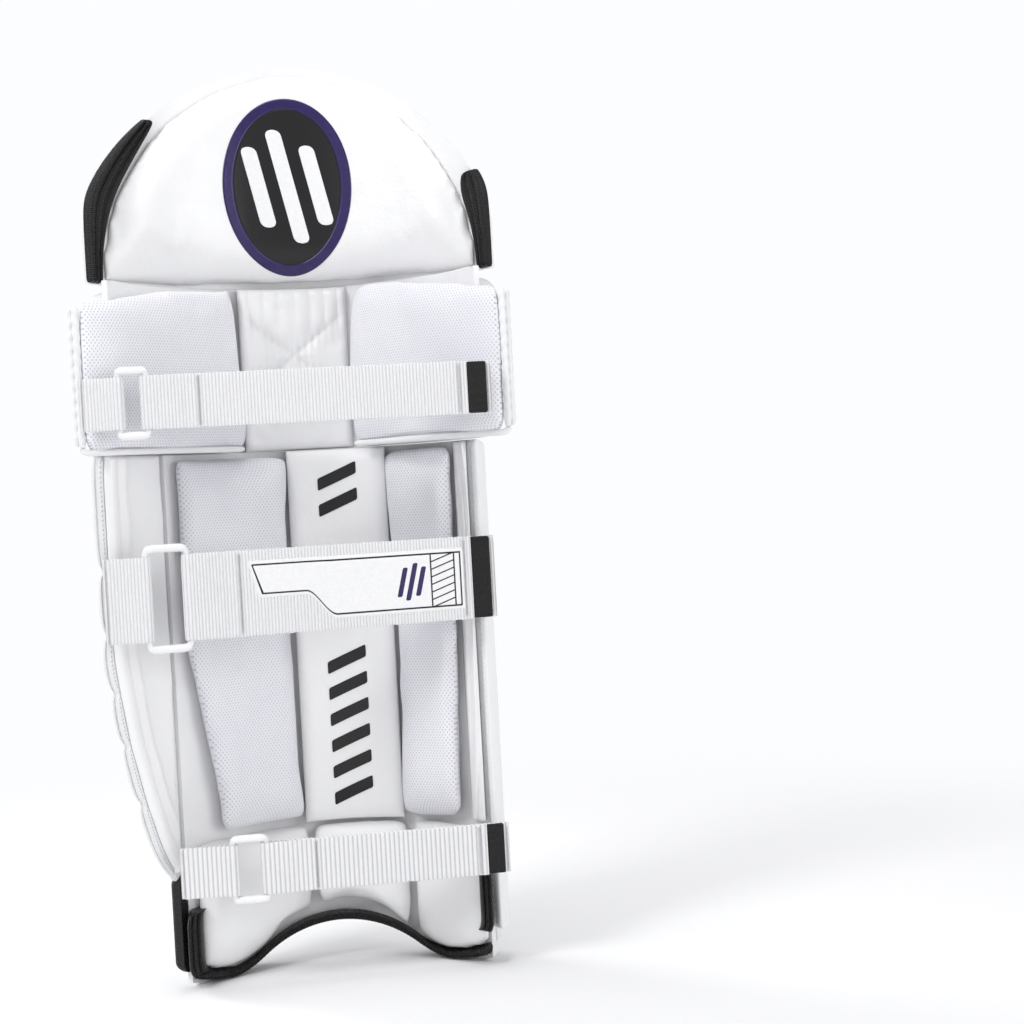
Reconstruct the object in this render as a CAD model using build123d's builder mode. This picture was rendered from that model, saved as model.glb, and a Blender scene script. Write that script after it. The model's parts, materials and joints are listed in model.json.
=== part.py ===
"""Cricket batting leg pad: a curved shield of stuffed ribs and rolls, cushions behind it, three straps.

The batting face looks towards -Y and the leg lies on the +Y side. The side wing and the three
strap rings are on +X. The origin is the centre of the bounding box, on the floor it stands on.
Cross-sections are arcs about upright axes; an angle is measured from -Y, positive towards +X.
"""
from build123d import *
from math import sin, cos, radians, sqrt, asin, degrees
import os

os.makedirs("parts", exist_ok=True)

# overall heights, mm
total_height = 700.0
top_base = 527.0          # lower edge of the top hat
knee_base = 400.0         # lower edge of the knee rolls
instep_top = 116.0        # where the three middle shin ribs end
ankle_top = 108.0         # where the calf bolsters meet the ankle cushions
gap = 0.3                 # between neighbouring soft pieces

# stations through the thickness of the shin and knee, radii about the pad's own axis
board_in = 137.0
board_out = 141.0
valley = 145.0            # depth of the seam between two ribs
crown = 160.0             # top of a rib
roll_crown = 165.0
knee_half_angle = 76.0
shin_half_angle = 56.0
shin_ribs = 7
shin_x = -10.0            # the shin's axis stands a little off the knee's
cushion_thick = 28.0

# the top hat is flatter: a larger radius about an axis further back
top_back = 30.0
top_ribs = 6
top_rib_pitch = 11.7
top_half_width = 154.0
thigh_half_width = 138.0
thigh_top = 692.0

# foot outline
lobe_outer = 108.0
lobe_inner = 72.0
arch_front = 31.0
arch_rear = 40.0
side_height = 26.0
side_half = 126.0

# straps and rings
bar_radius = 2.4
bar_hole = 2.48
ring_corner = 3.0
webbing = 2.4
fold_radius = 4.9
anchor_radius = 4.6
knee_bar_y = 4.6          # of the knee ring's anchor bar, from the pad's axis
strap_out = knee_bar_y + fold_radius

axis_y = (roll_crown - strap_out) / 2     # puts the bounding box's centre on x = y = 0

# canes
cane_width = 20.0
cane_thick = 3.0
cane_room = 0.3
cane_back = 0.9           # from the board to the cane's inner face


def polar(radius, angle):
    """A point on an arc, in a plan plane centred on the arc's axis."""
    return (radius * sin(radians(angle)), -radius * cos(radians(angle)))


def plan(z, centre_x=0.0, back=0.0):
    """Horizontal plane at height z, centred on an axis of the pad."""
    return Plane(origin=(centre_x, axis_y + back, z))


def arc(radius, start, end):
    """Draw an arc between two angles in the current line."""
    return ThreePointArc(polar(radius, start), polar(radius, (start + end) / 2), polar(radius, end))


def sector(r_in, r_out, start, end):
    """Sketch the band between two radii and two angles."""
    with BuildLine() as outline:
        arc(r_in, start, end)
        arc(r_out, start, end)
        Line(polar(r_in, start), polar(r_out, start))
        Line(polar(r_in, end), polar(r_out, end))
    make_face(outline.edges())


def rib_section(r_board, r_valley, r_crown, start, end):
    """Sketch one rib: flat on the board, low at its two seams and swollen between them."""
    middle = (start + end) / 2
    with BuildLine() as outline:
        arc(r_board, start, end)
        Line(polar(r_board, start), polar(r_valley, start))
        ThreePointArc(polar(r_valley, start), polar(r_crown, middle), polar(r_valley, end))
        Line(polar(r_board, end), polar(r_valley, end))
    make_face(outline.edges())


def cushion_section(radius, x_low, x_high, thickness):
    """Sketch a cushion: its front follows the board, its sides run straight back."""
    x_mid = (x_low + x_high) / 2
    front = [(x, -sqrt(radius**2 - x**2)) for x in (x_low, x_mid, x_high)]
    rear = [(x, y + thickness) for x, y in front]
    with BuildLine() as outline:
        ThreePointArc(*front)
        ThreePointArc(*rear)
        Line(front[0], rear[0])
        Line(front[2], rear[2])
    make_face(outline.edges())


def foot_outline(arch):
    """Sketch the shin seen from the front: two round lobes and an arch between them."""
    top = knee_base + 10
    with BuildLine() as outline:
        Line((-side_half, top), (-side_half, side_height))
        ThreePointArc((-side_half, side_height), (-side_half + 6, 9), (-lobe_outer, 0))
        Line((-lobe_outer, 0), (-lobe_inner, 0))
        ThreePointArc((-lobe_inner, 0), (0, arch), (lobe_inner, 0))
        Line((lobe_inner, 0), (lobe_outer, 0))
        ThreePointArc((lobe_outer, 0), (side_half - 6, 9), (side_half, side_height))
        Line((side_half, side_height), (side_half, top))
        Line((side_half, top), (-side_half, top))
    make_face(outline.edges())


def dome(half_width, height):
    """Sketch the top hat seen from the front: the upper half of an ellipse on its lower edge."""
    with Locations((0, top_base)):
        Ellipse(half_width, height)
        with Locations((0, -height / 2)):
            Rectangle(2 * half_width + 2, height, mode=Mode.SUBTRACT)


def dome_height(x):
    """Height of the top hat's rim above a point x across."""
    return top_base + (total_height - top_base) * sqrt(1 - (x / top_half_width) ** 2)


def save(piece, name):
    """Label a finished piece and write it."""
    piece.part.label = name
    export_step(piece.part, f"parts/{name}.step")


def trim_foot(arch):
    """Cut the current part to the foot outline."""
    with BuildSketch(Plane((shin_x, 0, 0), x_dir=(1, 0, 0), z_dir=(0, -1, 0))) as front:
        foot_outline(arch)
    extrude(front.sketch, amount=2 * crown, both=True, mode=Mode.INTERSECT)


def trim_dome(half_width, height, mode):
    """Cut the current part to the dome, or cut the dome out of it."""
    with BuildSketch(Plane.XZ) as front:
        dome(half_width, height)
    extrude(front.sketch, amount=2 * crown, both=True, mode=mode)


# ---------------------------------------------------------------- boards inside the shield
with BuildPart() as shin_board:
    with BuildSketch(plan(0, shin_x)):
        sector(board_in, board_out, -shin_half_angle, shin_half_angle)
    extrude(amount=knee_base - gap)
    trim_foot(arch_front)
save(shin_board, "shin_board")

with BuildPart() as knee_board:
    with BuildSketch(plan(knee_base)):
        sector(board_in, board_out, -knee_half_angle, knee_half_angle)
    extrude(amount=top_base - gap - knee_base)
save(knee_board, "knee_board")

top_board_angle = degrees(asin(top_half_width / (valley + top_back)))
with BuildPart() as top_board:
    with BuildSketch(plan(top_base, 0, top_back)):
        sector(board_in + top_back, board_out + top_back, -top_board_angle, top_board_angle)
    extrude(amount=total_height - top_base)
    trim_dome(top_half_width, total_height - top_base, Mode.INTERSECT)
save(top_board, "top_board")

# ---------------------------------------------------------------- shin ribs and their canes
rib_pitch = 2 * shin_half_angle / shin_ribs
short_ribs = (3, 4, 5)
seam_half = degrees(gap / 2 / valley)


def cane_plane(radius, angle, z, centre_x, back):
    """Plane whose origin is the middle of a cane's inner face, X across the rib, Z up."""
    x, y = polar(radius, angle)
    across = (cos(radians(angle)), sin(radians(angle)), 0)
    return Plane(origin=(centre_x + x, axis_y + back + y, z), x_dir=across, z_dir=(0, 0, 1))


def cane(width, thickness):
    """Sketch a cane from its inner face outwards."""
    Rectangle(width, thickness, align=(Align.CENTER, Align.MAX))


def shin_rib_angles(number):
    start = -shin_half_angle + (number - 1) * rib_pitch
    return start + seam_half, start + rib_pitch - seam_half


for number in range(1, shin_ribs + 1):
    start, end = shin_rib_angles(number)
    foot = instep_top if number in short_ribs else 0.0
    with BuildPart() as rib:
        with BuildSketch(plan(foot, shin_x)):
            rib_section(board_out + gap, valley, crown, start, end)
        extrude(amount=knee_base - gap - foot)
        trim_foot(arch_front)
        with BuildSketch(cane_plane(board_out, (start + end) / 2, 0, shin_x, 0)):
            cane(cane_width + 2 * cane_room, cane_back + cane_thick + cane_room)
        extrude(amount=knee_base, mode=Mode.SUBTRACT)
    save(rib, f"shin_rib_{number}")

cane_inset = 10.0
cane_foot = 42.0
with BuildPart() as shin_canes:
    for number in range(1, shin_ribs + 1):
        start, end = shin_rib_angles(number)
        low = instep_top + cane_inset if number in short_ribs else cane_foot
        with BuildSketch(cane_plane(board_out + cane_back, (start + end) / 2, low, shin_x, 0)):
            cane(cane_width, cane_thick)
        extrude(amount=knee_base - cane_inset - low)
save(shin_canes, "shin_canes")

# ---------------------------------------------------------------- top hat ribs, canes and side panels
top_seam_half = degrees(gap / 2 / (valley + top_back))


def top_rib_angles(number):
    start = (number - 1 - top_ribs / 2) * top_rib_pitch
    return start + top_seam_half, start + top_rib_pitch - top_seam_half


for number in range(1, top_ribs + 1):
    start, end = top_rib_angles(number)
    with BuildPart() as rib:
        with BuildSketch(plan(top_base, 0, top_back)):
            rib_section(board_out + top_back + gap, valley + top_back, crown + top_back, start, end)
        extrude(amount=total_height - top_base)
        trim_dome(top_half_width - 4, total_height - top_base - 4, Mode.INTERSECT)
        with BuildSketch(cane_plane(board_out + top_back, (start + end) / 2, top_base, 0, top_back)):
            cane(cane_width + 2 * cane_room, cane_back + cane_thick + cane_room)
        extrude(amount=total_height - top_base, mode=Mode.SUBTRACT)
    save(rib, f"top_rib_{number}")

with BuildPart() as top_canes:
    for number in range(1, top_ribs + 1):
        start, end = top_rib_angles(number)
        middle = (start + end) / 2
        reach = abs(polar(valley + top_back, middle)[0]) + cane_width / 2
        low = top_base + cane_inset
        with BuildSketch(cane_plane(board_out + top_back + cane_back, middle, low, 0, top_back)):
            cane(cane_width, cane_thick)
        extrude(amount=dome_height(reach) - 2 * cane_inset - low)
save(top_canes, "top_canes")

panel_start = top_ribs / 2 * top_rib_pitch
for side, sign in (("left", 1), ("right", -1)):
    with BuildPart() as panel:
        with BuildSketch(plan(top_base, 0, top_back)):
            first = sign * (panel_start + top_seam_half)
            last = sign * top_board_angle
            sector(board_out + top_back + gap, valley + top_back + 3, first, last)
        extrude(amount=total_height - top_base)
        trim_dome(top_half_width - 4, total_height - top_base - 4, Mode.INTERSECT)
    save(panel, f"top_panel_{side}")

with BuildPart() as top_piping:
    with BuildSketch(plan(top_base, 0, top_back)):
        sector(board_out + top_back + gap, valley + top_back + 1, -top_board_angle, top_board_angle)
    extrude(amount=total_height - top_base)
    trim_dome(top_half_width, total_height - top_base, Mode.INTERSECT)
    trim_dome(top_half_width - 4 + gap, total_height - top_base - 4 + gap, Mode.SUBTRACT)
save(top_piping, "top_piping")

# ---------------------------------------------------------------- knee rolls
roll_edges = {"lower": (400.0, 441.5), "middle": (441.8, 481.5), "upper": (481.8, 526.7)}
roll_shoulder = 12.0
for name, (low, high) in roll_edges.items():
    r_in = board_out + gap
    r_side = roll_crown - roll_shoulder
    with BuildPart() as roll:
        with BuildSketch(Plane(origin=(0, axis_y, 0), x_dir=(0, -1, 0), z_dir=(-1, 0, 0))):
            with BuildLine():
                Polyline((r_side, high), (r_in, high), (r_in, low), (r_side, low))
                ThreePointArc((r_side, low), (roll_crown, (low + high) / 2), (r_side, high))
            make_face()
        revolve(axis=Axis((0, axis_y, 0), (0, 0, 1)), revolution_arc=knee_half_angle)
        mirror(about=Plane.YZ)
    save(roll, f"knee_roll_{name}")

# ---------------------------------------------------------------- side wing on +X
wing_thick = 10.0
wing_lining_thick = 3.0
wing_edge = [(72, knee_base - 2), (72, 250), (62, 195), (40, 112), (28, 88)]
root_x, root_y = polar(valley, shin_half_angle)
wing_plane = Plane(
    origin=(shin_x + root_x, axis_y + root_y, 0),
    x_dir=(cos(radians(shin_half_angle)), sin(radians(shin_half_angle)), 0),
    z_dir=(sin(radians(shin_half_angle)), -cos(radians(shin_half_angle)), 0),
)
with BuildPart() as side_wing:
    with BuildSketch(wing_plane):
        with BuildLine():
            Polyline((gap, knee_base - 2), *wing_edge, (gap, 80), close=True)
        make_face()
    extrude(amount=-(wing_thick - wing_lining_thick - gap))
    fillet(side_wing.edges().filter_by(Axis.Z).sort_by(Axis.Y)[-2:], 2.5)
save(side_wing, "side_wing")

with BuildPart() as wing_lining:
    with BuildSketch(wing_plane.offset(-(wing_thick - wing_lining_thick))):
        with BuildLine():
            inner_edge = [(across - 3, up) for across, up in wing_edge]
            Polyline((8, knee_base - 2), *inner_edge, (8, 88), close=True)
        make_face()
    extrude(amount=-wing_lining_thick)
save(wing_lining, "wing_lining")

# ---------------------------------------------------------------- instep panel and badge
instep_out = valley + 4.0
badge_thick = 3.0
badge_width = 60.0
badge_low = 36.0
badge_height = 62.0
instep_half = rib_pitch * 1.5 - seam_half
with BuildPart() as instep_panel:
    with BuildSketch(plan(0, shin_x)):
        sector(board_out + gap, instep_out, -instep_half, instep_half)
    extrude(amount=instep_top - gap)
    trim_foot(arch_front)
save(instep_panel, "instep_panel")

with BuildPart() as badge_plate:
    with BuildSketch(plan(badge_low, shin_x)):
        badge_half = degrees(badge_width / 2 / instep_out)
        sector(instep_out + gap, instep_out + gap + badge_thick, -badge_half, badge_half)
    extrude(amount=badge_height)
    fillet(badge_plate.edges().filter_by(lambda e: e.length < badge_thick + 0.5), 4)
save(badge_plate, "badge_plate")

# ---------------------------------------------------------------- welt on the shin's plain edge
welt_angle = 5.5
with BuildPart() as shin_welt:
    with BuildSketch(plan(0, shin_x)):
        edge = -shin_half_angle - seam_half
        sector(board_in, valley + 2, edge - welt_angle, edge)
    extrude(amount=knee_base - gap)
    with BuildSketch(Plane.XZ):
        with Locations((0, knee_base)):
            Rectangle(4 * crown, 2 * (knee_base - side_height - 1))
    extrude(amount=2 * crown, both=True, mode=Mode.INTERSECT)
save(shin_welt, "shin_welt")

# ---------------------------------------------------------------- cushions behind the top hat
thigh_thick = 24.0
with BuildPart() as thigh_cushion:
    with BuildSketch(plan(top_base, 0, top_back)):
        radius = board_in + top_back - gap
        cushion_section(radius, -thigh_half_width, thigh_half_width, thigh_thick)
    extrude(amount=total_height - top_base)
    trim_dome(thigh_half_width, thigh_top - top_base, Mode.INTERSECT)
save(thigh_cushion, "thigh_cushion")

binding_tops = {"left": 655.0, "right": 602.0}
for side, sign in (("left", 1), ("right", -1)):
    with BuildPart() as binding:
        with BuildSketch(plan(top_base, 0, top_back)):
            r_out = board_in + top_back - gap
            sector(r_out - 6, r_out, sign * 40, sign * top_board_angle)
        extrude(amount=binding_tops[side] - top_base)
        trim_dome(top_half_width, total_height - top_base, Mode.INTERSECT)
        trim_dome(thigh_half_width + gap, thigh_top - top_base + gap, Mode.SUBTRACT)
    save(binding, f"top_binding_{side}")

# ---------------------------------------------------------------- cushions behind the knee
bolster_outer = 157.0
bolster_rear = -1.2       # rear face, from the pad's axis
bolster_front = -32.6     # just behind the ends of the rolls
bolster_inner = {"left": 42.0, "right": 39.0}
bolster_top = top_base - gap
bolster_rise = 33.0       # of the inner corner's rear face above the board
for side, sign in (("left", 1), ("right", -1)):
    radius = board_in - gap
    x_in = bolster_inner[side]
    y_in = -sqrt(radius**2 - x_in**2)
    x_end = sqrt(radius**2 - bolster_front**2)
    mid = polar(radius, 45)
    with BuildPart() as bolster:
        with BuildSketch(plan(403)):
            with BuildLine():
                ThreePointArc((sign * x_in, y_in), (sign * mid[0], mid[1]), (sign * x_end, bolster_front))
                Polyline(
                    (sign * x_end, bolster_front),
                    (sign * bolster_outer, bolster_front),
                    (sign * bolster_outer, bolster_rear - 8),
                    (sign * (bolster_outer - 8), bolster_rear),
                    (sign * 120, bolster_rear),
                )
                ThreePointArc(
                    (sign * 120, bolster_rear),
                    (sign * 93, bolster_rear - 48),
                    (sign * x_in, y_in + bolster_rise),
                )
                Line((sign * x_in, y_in + bolster_rise), (sign * x_in, y_in))
            make_face()
        extrude(amount=bolster_top - 403)
    save(bolster, f"knee_bolster_{side}")

with BuildPart() as knee_lining:
    with BuildSketch(plan(403)):
        low = -bolster_inner["right"] + gap
        high = bolster_inner["left"] - gap
        cushion_section(board_in - gap, low, high, 10)
    extrude(amount=bolster_top - 403)
save(knee_lining, "knee_lining")

# ---------------------------------------------------------------- cushions behind the shin
calf_top = knee_base - gap
strip_low = -54.0
strip_high = 23.0
calf_pieces = {
    "calf_bolster_left": (strip_high + gap, 108.0, cushion_thick),
    "centre_strip": (strip_low, strip_high, 18.0),
    "calf_bolster_right": (-104.0, strip_low - gap, cushion_thick),
    "side_strip_right": (-112.5, -104.0 - gap, 16.0),
}
for name, (low, high, thick) in calf_pieces.items():
    with BuildPart() as cushion:
        with BuildSketch(plan(ankle_top, shin_x)):
            cushion_section(board_in - gap, low, high, thick)
        extrude(amount=calf_top - ankle_top)
    save(cushion, name)

ankle_seams = {"left": (19.0 + gap, 108.0), "centre": (-58.0, 19.0), "right": (-112.5, -58.0 - gap)}
for name, (low, high) in ankle_seams.items():
    with BuildPart() as cushion:
        with BuildSketch(plan(0, shin_x)):
            cushion_section(board_in - gap, low, high, 24)
        extrude(amount=ankle_top - gap)
        trim_foot(arch_rear)
    save(cushion, f"ankle_cushion_{name}")


# ---------------------------------------------------------------- rings and straps
def strap(name, bar_x, bar_y, z_mid, tilt, pitch, ring_height, width, length, tab, tongue):
    """Make one strap set: anchor, ring, fold on the ring, sewn layer, free layer and its tab.

    bar_x, bar_y place the anchor bar about the pad's axis. The strap leaves towards -X, turned by
    tilt degrees towards the batting face. pitch is from bar to bar, length from the strap bar.
    """
    origin = Vector(bar_x, axis_y + bar_y, z_mid)
    along = Vector(-cos(radians(tilt)), -sin(radians(tilt)), 0)
    outward = Vector(-sin(radians(tilt)), cos(radians(tilt)), 0)
    down = Vector(0, 0, -1)
    anchor_plane = Plane(origin=origin, x_dir=(1, 0, 0), z_dir=(0, 0, 1))
    bar_plane = Plane(origin=origin + along * pitch, x_dir=along, z_dir=down)
    ring_plane = Plane(origin=origin + along * (pitch / 2), x_dir=along, z_dir=outward)
    start = 5.5
    bend = 35.0
    layer = 1.6

    with BuildPart() as anchor:
        with BuildSketch(anchor_plane):
            Circle(anchor_radius)
            with Locations((0, -anchor_radius)):
                Rectangle(tongue, 3.6, align=(Align.MIN, Align.MIN))
            Circle(bar_hole, mode=Mode.SUBTRACT)
        extrude(amount=width / 2, both=True)
    save(anchor, f"{name}_anchor")

    half_tall = ring_height / 2 - bar_radius
    with BuildPart() as ring:
        with BuildLine(ring_plane) as path:
            corners = [(-pitch / 2, half_tall), (pitch / 2, half_tall)]
            corners += [(pitch / 2, -half_tall), (-pitch / 2, -half_tall)]
            FilletPolyline(*corners, radius=ring_corner, close=True)
        with BuildSketch(Plane(origin=path.line @ 0, z_dir=path.line % 0)):
            Circle(bar_radius)
        sweep()
    save(ring, f"{name}_ring")

    with BuildPart() as fold:
        with BuildSketch(bar_plane):
            Circle(fold_radius)
            with Locations((0, -fold_radius)):
                Rectangle(7, webbing, align=(Align.MIN, Align.MIN))
            Circle(bar_hole, mode=Mode.SUBTRACT)
        extrude(amount=width / 2, both=True)
    save(fold, f"{name}_fold")

    def layer_sketch(sign, first, last):
        """Sketch a strap layer: it leaves the bar and comes down beside the other layer."""
        away = fold_radius - webbing
        with BuildLine() as outline:
            Polyline(
                (first, sign * away),
                (bend, sign * (layer - webbing / 2)),
                (last, sign * (layer - webbing / 2)),
                (last, sign * (layer + webbing / 2)),
                (bend, sign * (layer + webbing / 2)),
                (first, sign * fold_radius),
                close=True,
            )
        make_face(outline.edges())

    with BuildPart() as sewn:
        with BuildSketch(bar_plane):
            layer_sketch(-1, 8, length + 4)
        extrude(amount=width / 2, both=True)
    save(sewn, f"{name}_strap_sewn")

    with BuildPart() as free:
        with BuildSketch(bar_plane):
            layer_sketch(1, start, length - tab)
        extrude(amount=width / 2, both=True)
    save(free, f"{name}_strap_free")

    with BuildPart() as hook:
        with BuildSketch(bar_plane):
            with Locations((length - tab + gap, layer - webbing / 2)):
                Rectangle(tab - gap, webbing, align=(Align.MIN, Align.MIN))
        extrude(amount=width / 2 - 1, both=True)
    save(hook, f"{name}_hook_tab")


strap("knee", 126.0, knee_bar_y, 435.0, 0.0, 20.0, 51.0, 38.0, 240.0, 14.0, 27.0)
strap("calf", 115.5, -6.0, 296.0, 11.0, 30.5, 77.0, 62.0, 225.0, 15.0, 29.0)
strap("ankle", 67.0, -38.0, 93.0, 2.0, 25.0, 50.0, 38.0, 176.0, 13.0, 38.0)
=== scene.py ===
# %% [markdown]
# A cricket leg pad is a stitched shield. Stuffed ribs and rolls face the ball, cushions face the leg,
# and three straps close round the calf. The fixed frame brings in the imported model: its boards, canes
# and joints stay as they are, and every soft piece below is new and stands in the place that its
# plain solid holds.

# %% Load the frame
import json
import math
import bpy
import numpy as np
from mathutils import Matrix, Vector

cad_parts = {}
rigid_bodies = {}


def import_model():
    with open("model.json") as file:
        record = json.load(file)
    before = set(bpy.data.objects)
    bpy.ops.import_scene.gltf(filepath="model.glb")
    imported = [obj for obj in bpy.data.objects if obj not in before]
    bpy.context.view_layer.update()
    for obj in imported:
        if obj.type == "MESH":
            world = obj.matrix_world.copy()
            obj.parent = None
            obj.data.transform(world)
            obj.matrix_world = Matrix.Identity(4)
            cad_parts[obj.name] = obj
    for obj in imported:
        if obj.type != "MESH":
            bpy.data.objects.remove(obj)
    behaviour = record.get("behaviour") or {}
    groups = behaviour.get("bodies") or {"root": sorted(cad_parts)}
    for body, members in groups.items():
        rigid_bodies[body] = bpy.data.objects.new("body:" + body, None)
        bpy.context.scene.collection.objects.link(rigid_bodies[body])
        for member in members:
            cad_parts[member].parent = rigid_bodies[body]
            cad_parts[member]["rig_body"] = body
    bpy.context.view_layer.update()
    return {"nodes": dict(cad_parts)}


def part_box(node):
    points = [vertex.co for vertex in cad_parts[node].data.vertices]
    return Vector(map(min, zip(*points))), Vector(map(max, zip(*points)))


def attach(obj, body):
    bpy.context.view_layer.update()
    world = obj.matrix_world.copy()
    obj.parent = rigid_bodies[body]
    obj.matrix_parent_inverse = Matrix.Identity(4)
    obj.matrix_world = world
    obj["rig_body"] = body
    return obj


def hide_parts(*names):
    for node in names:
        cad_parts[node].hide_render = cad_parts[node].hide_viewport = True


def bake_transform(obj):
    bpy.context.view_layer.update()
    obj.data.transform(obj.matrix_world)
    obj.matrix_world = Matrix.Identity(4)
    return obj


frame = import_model()

# %% [markdown]
# Every size comes from a few stations of the pad. The shield is bent about upright axes, so a place
# on it is a radius, an angle from the batting side and a height. The heights and the axis are read
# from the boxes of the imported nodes, which keeps this file in step with the model.

# %% Stations of the pad, in metres
MM = 0.001
BOARD_IN = 137 * MM
BOARD_OUT = 141 * MM
SEAM = 142.6 * MM          # bottom of the groove between two ribs
ROLL_CROWN = 165 * MM
TOP_BACK = 30 * MM         # the top hat's axis stands this far behind the others
SHIN_X = -10 * MM
SHIN_HALF = math.radians(56)
KNEE_HALF = math.radians(76)

AXIS_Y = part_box("knee_roll_middle")[0][1] + ROLL_CROWN
KNEE_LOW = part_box("knee_board")[0][2]
TOP_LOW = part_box("top_board")[0][2]
TOP_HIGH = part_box("top_board")[1][2]
TOP_HALF_WIDTH = 154 * MM  # the top hat's board is a half ellipse of this width and the height below
TOP_TALL = 173 * MM
LAP = 0.3 * MM             # the hair's breadth left between a cover's back and its board
UPRIGHT = np.array([0, 0, 1.0])
INSTEP_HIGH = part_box("shin_rib_4")[0][2]
ANKLE_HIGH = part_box("calf_bolster_left")[0][2]
print("axis", round(AXIS_Y, 4), "knee", KNEE_LOW, "top hat", TOP_LOW, TOP_HIGH, "instep", INSTEP_HIGH)

# %% [markdown]
# A mesh here is always worked out as whole arrays. A grid of points has rows going up and columns
# going across; a slab is two such grids joined round their rims, so it is closed like a real stuffed
# cover. The sum of the signed tetrahedra under the faces tells whether they point outwards.

# %% Mesh helpers
def grid_quads(rows, columns, first=0, ring=False):
    """Faces of a grid: each joins a point, its right neighbour and the two above. ring closes the columns."""
    last = columns if ring else columns - 1
    row, column = np.meshgrid(np.arange(rows - 1), np.arange(last), indexing="ij")
    here = row * columns + column
    right = row * columns + (column + 1) % columns
    return first + np.stack([here, right, right + columns, here + columns], -1).reshape(-1, 4)


def outward(points, faces):
    """Turn all faces round if the volume they enclose comes out negative."""
    a, b, c, d = (points[faces[:, k]] for k in range(4))
    volume = np.einsum("ij,ij->", a, np.cross(b, c)) + np.einsum("ij,ij->", a, np.cross(c, d))
    return faces if volume > 0 else faces[:, ::-1]


def make_piece(name, points, faces, cloth, material, body, nodes=(), seam=None):
    """Put arrays into a mesh. cloth is a place on the flat cloth per point, in metres; seam is how far
    the point is from a seam and how far along it."""
    faces = outward(points, faces)
    rows = [list(dict.fromkeys(face)) for face in faces.tolist()]
    name = f"{name}_cover" if name in frame["nodes"] else name
    mesh = bpy.data.meshes.new(name)
    mesh.from_pydata(points.tolist(), [], [row for row in rows if len(row) > 2])
    corners = np.empty(len(mesh.loops), dtype=np.int32)
    mesh.loops.foreach_get("vertex_index", corners)
    mesh.uv_layers.new(name="cloth").data.foreach_set("uv", cloth[corners].astype(np.float32).ravel())
    if seam is not None:
        column = np.zeros((len(points), 3), dtype=np.float32)
        column[:, :2] = seam
        mesh.attributes.new("seam", "FLOAT_VECTOR", "POINT").data.foreach_set("vector", column.ravel())
    mesh.polygons.foreach_set("use_smooth", np.ones(len(mesh.polygons), dtype=bool))
    mesh.materials.append(material)
    mesh.update()
    piece = bpy.data.objects.new(name, mesh)
    bpy.context.scene.collection.objects.link(piece)
    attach(piece, body)
    if nodes:
        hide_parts(*nodes)
    print(name, len(mesh.vertices), "points")
    return piece


def slab(front, back):
    """Join two equal grids round their rims into one closed skin."""
    rows, columns = front.shape[:2]
    count = rows * columns
    index = np.arange(count).reshape(rows, columns)
    rim = np.concatenate([index[0, :-1], index[:-1, -1], index[-1, :0:-1], index[:0:-1, 0]])
    after = np.roll(rim, -1)
    sides = np.stack([after, rim, rim + count, after + count], -1)
    faces = np.concatenate([grid_quads(rows, columns), grid_quads(rows, columns, count)[:, ::-1], sides])
    return np.concatenate([front.reshape(-1, 3), back.reshape(-1, 3)]), faces


def twice(values):
    """The same value for both grids of a slab."""
    flat = values.reshape(-1, values.shape[-1])
    return np.concatenate([flat, flat])


def make_slab(name, front, back, cloth, material, nodes=(), seam=None, body="pad"):
    """A closed piece between two equal grids. cloth holds the two places of each point on the cloth."""
    points, faces = slab(front, back)
    flat = twice(np.stack(np.broadcast_arrays(*cloth), -1))
    seam = None if seam is None else twice(seam)
    return make_piece(name, points, faces, flat, material, body, nodes, seam)


def tube(path, across, up, closed=False):
    """Carry a section along a path. across and up are, for each point, the section's own points'
    offsets: path plus both. Open ends are gathered to their middle, which caps them."""
    rings = path[:, None, :] + across + up
    if closed:
        points = rings.reshape(-1, 3)
        count = rings.shape[1]
        faces = grid_quads(rings.shape[0], count, ring=True)
        last = np.arange(count) + (rings.shape[0] - 1) * count
        step = (np.arange(count) + 1) % count
        join = np.stack([last, last[step], np.arange(count)[step], np.arange(count)], -1)
        return points, np.concatenate([faces, join])
    ends = [rings[:1].mean(1, keepdims=True).repeat(rings.shape[1], 1)]
    ends.append(rings[-1:].mean(1, keepdims=True).repeat(rings.shape[1], 1))
    rings = np.concatenate([ends[0], rings, ends[1]])
    return rings.reshape(-1, 3), grid_quads(rings.shape[0], rings.shape[1], ring=True)


# %% Shapes along one direction
def eased(count, sharp=1.0):
    """Numbers from 0 to 1, closer together at both ends, where covers curve over."""
    even = np.linspace(0, 1, count)
    return (1 - sharp) * even + sharp * (0.5 - 0.5 * np.cos(np.pi * even))


def step(value, low, high):
    """0 below low, 1 above high and a smooth change between."""
    part = np.clip((value - low) / (high - low), 0, 1)
    return part * part * (3 - 2 * part)


def over_edge(distance, radius):
    """A quarter circle: 0 at an edge, rising straight up and level again one radius away."""
    part = np.clip(distance / radius, 0, 1)
    return np.sqrt(1 - (1 - part) ** 2)


def crumple(across, up, size, seed):
    """Soft noise between -1 and 1: random heights on a lattice of the given size, smoothly joined."""
    table = np.random.default_rng(seed).uniform(-1, 1, (64, 64))
    x, y = across / size + 100.5, up / size + 100.5
    i, j = np.floor(x).astype(int), np.floor(y).astype(int)
    fx, fy = x - i, y - j
    fx, fy = fx * fx * (3 - 2 * fx), fy * fy * (3 - 2 * fy)
    low = table[i % 64, j % 64] * (1 - fx) + table[(i + 1) % 64, j % 64] * fx
    high = table[i % 64, (j + 1) % 64] * (1 - fx) + table[(i + 1) % 64, (j + 1) % 64] * fx
    return low * (1 - fy) + high * fy


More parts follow.
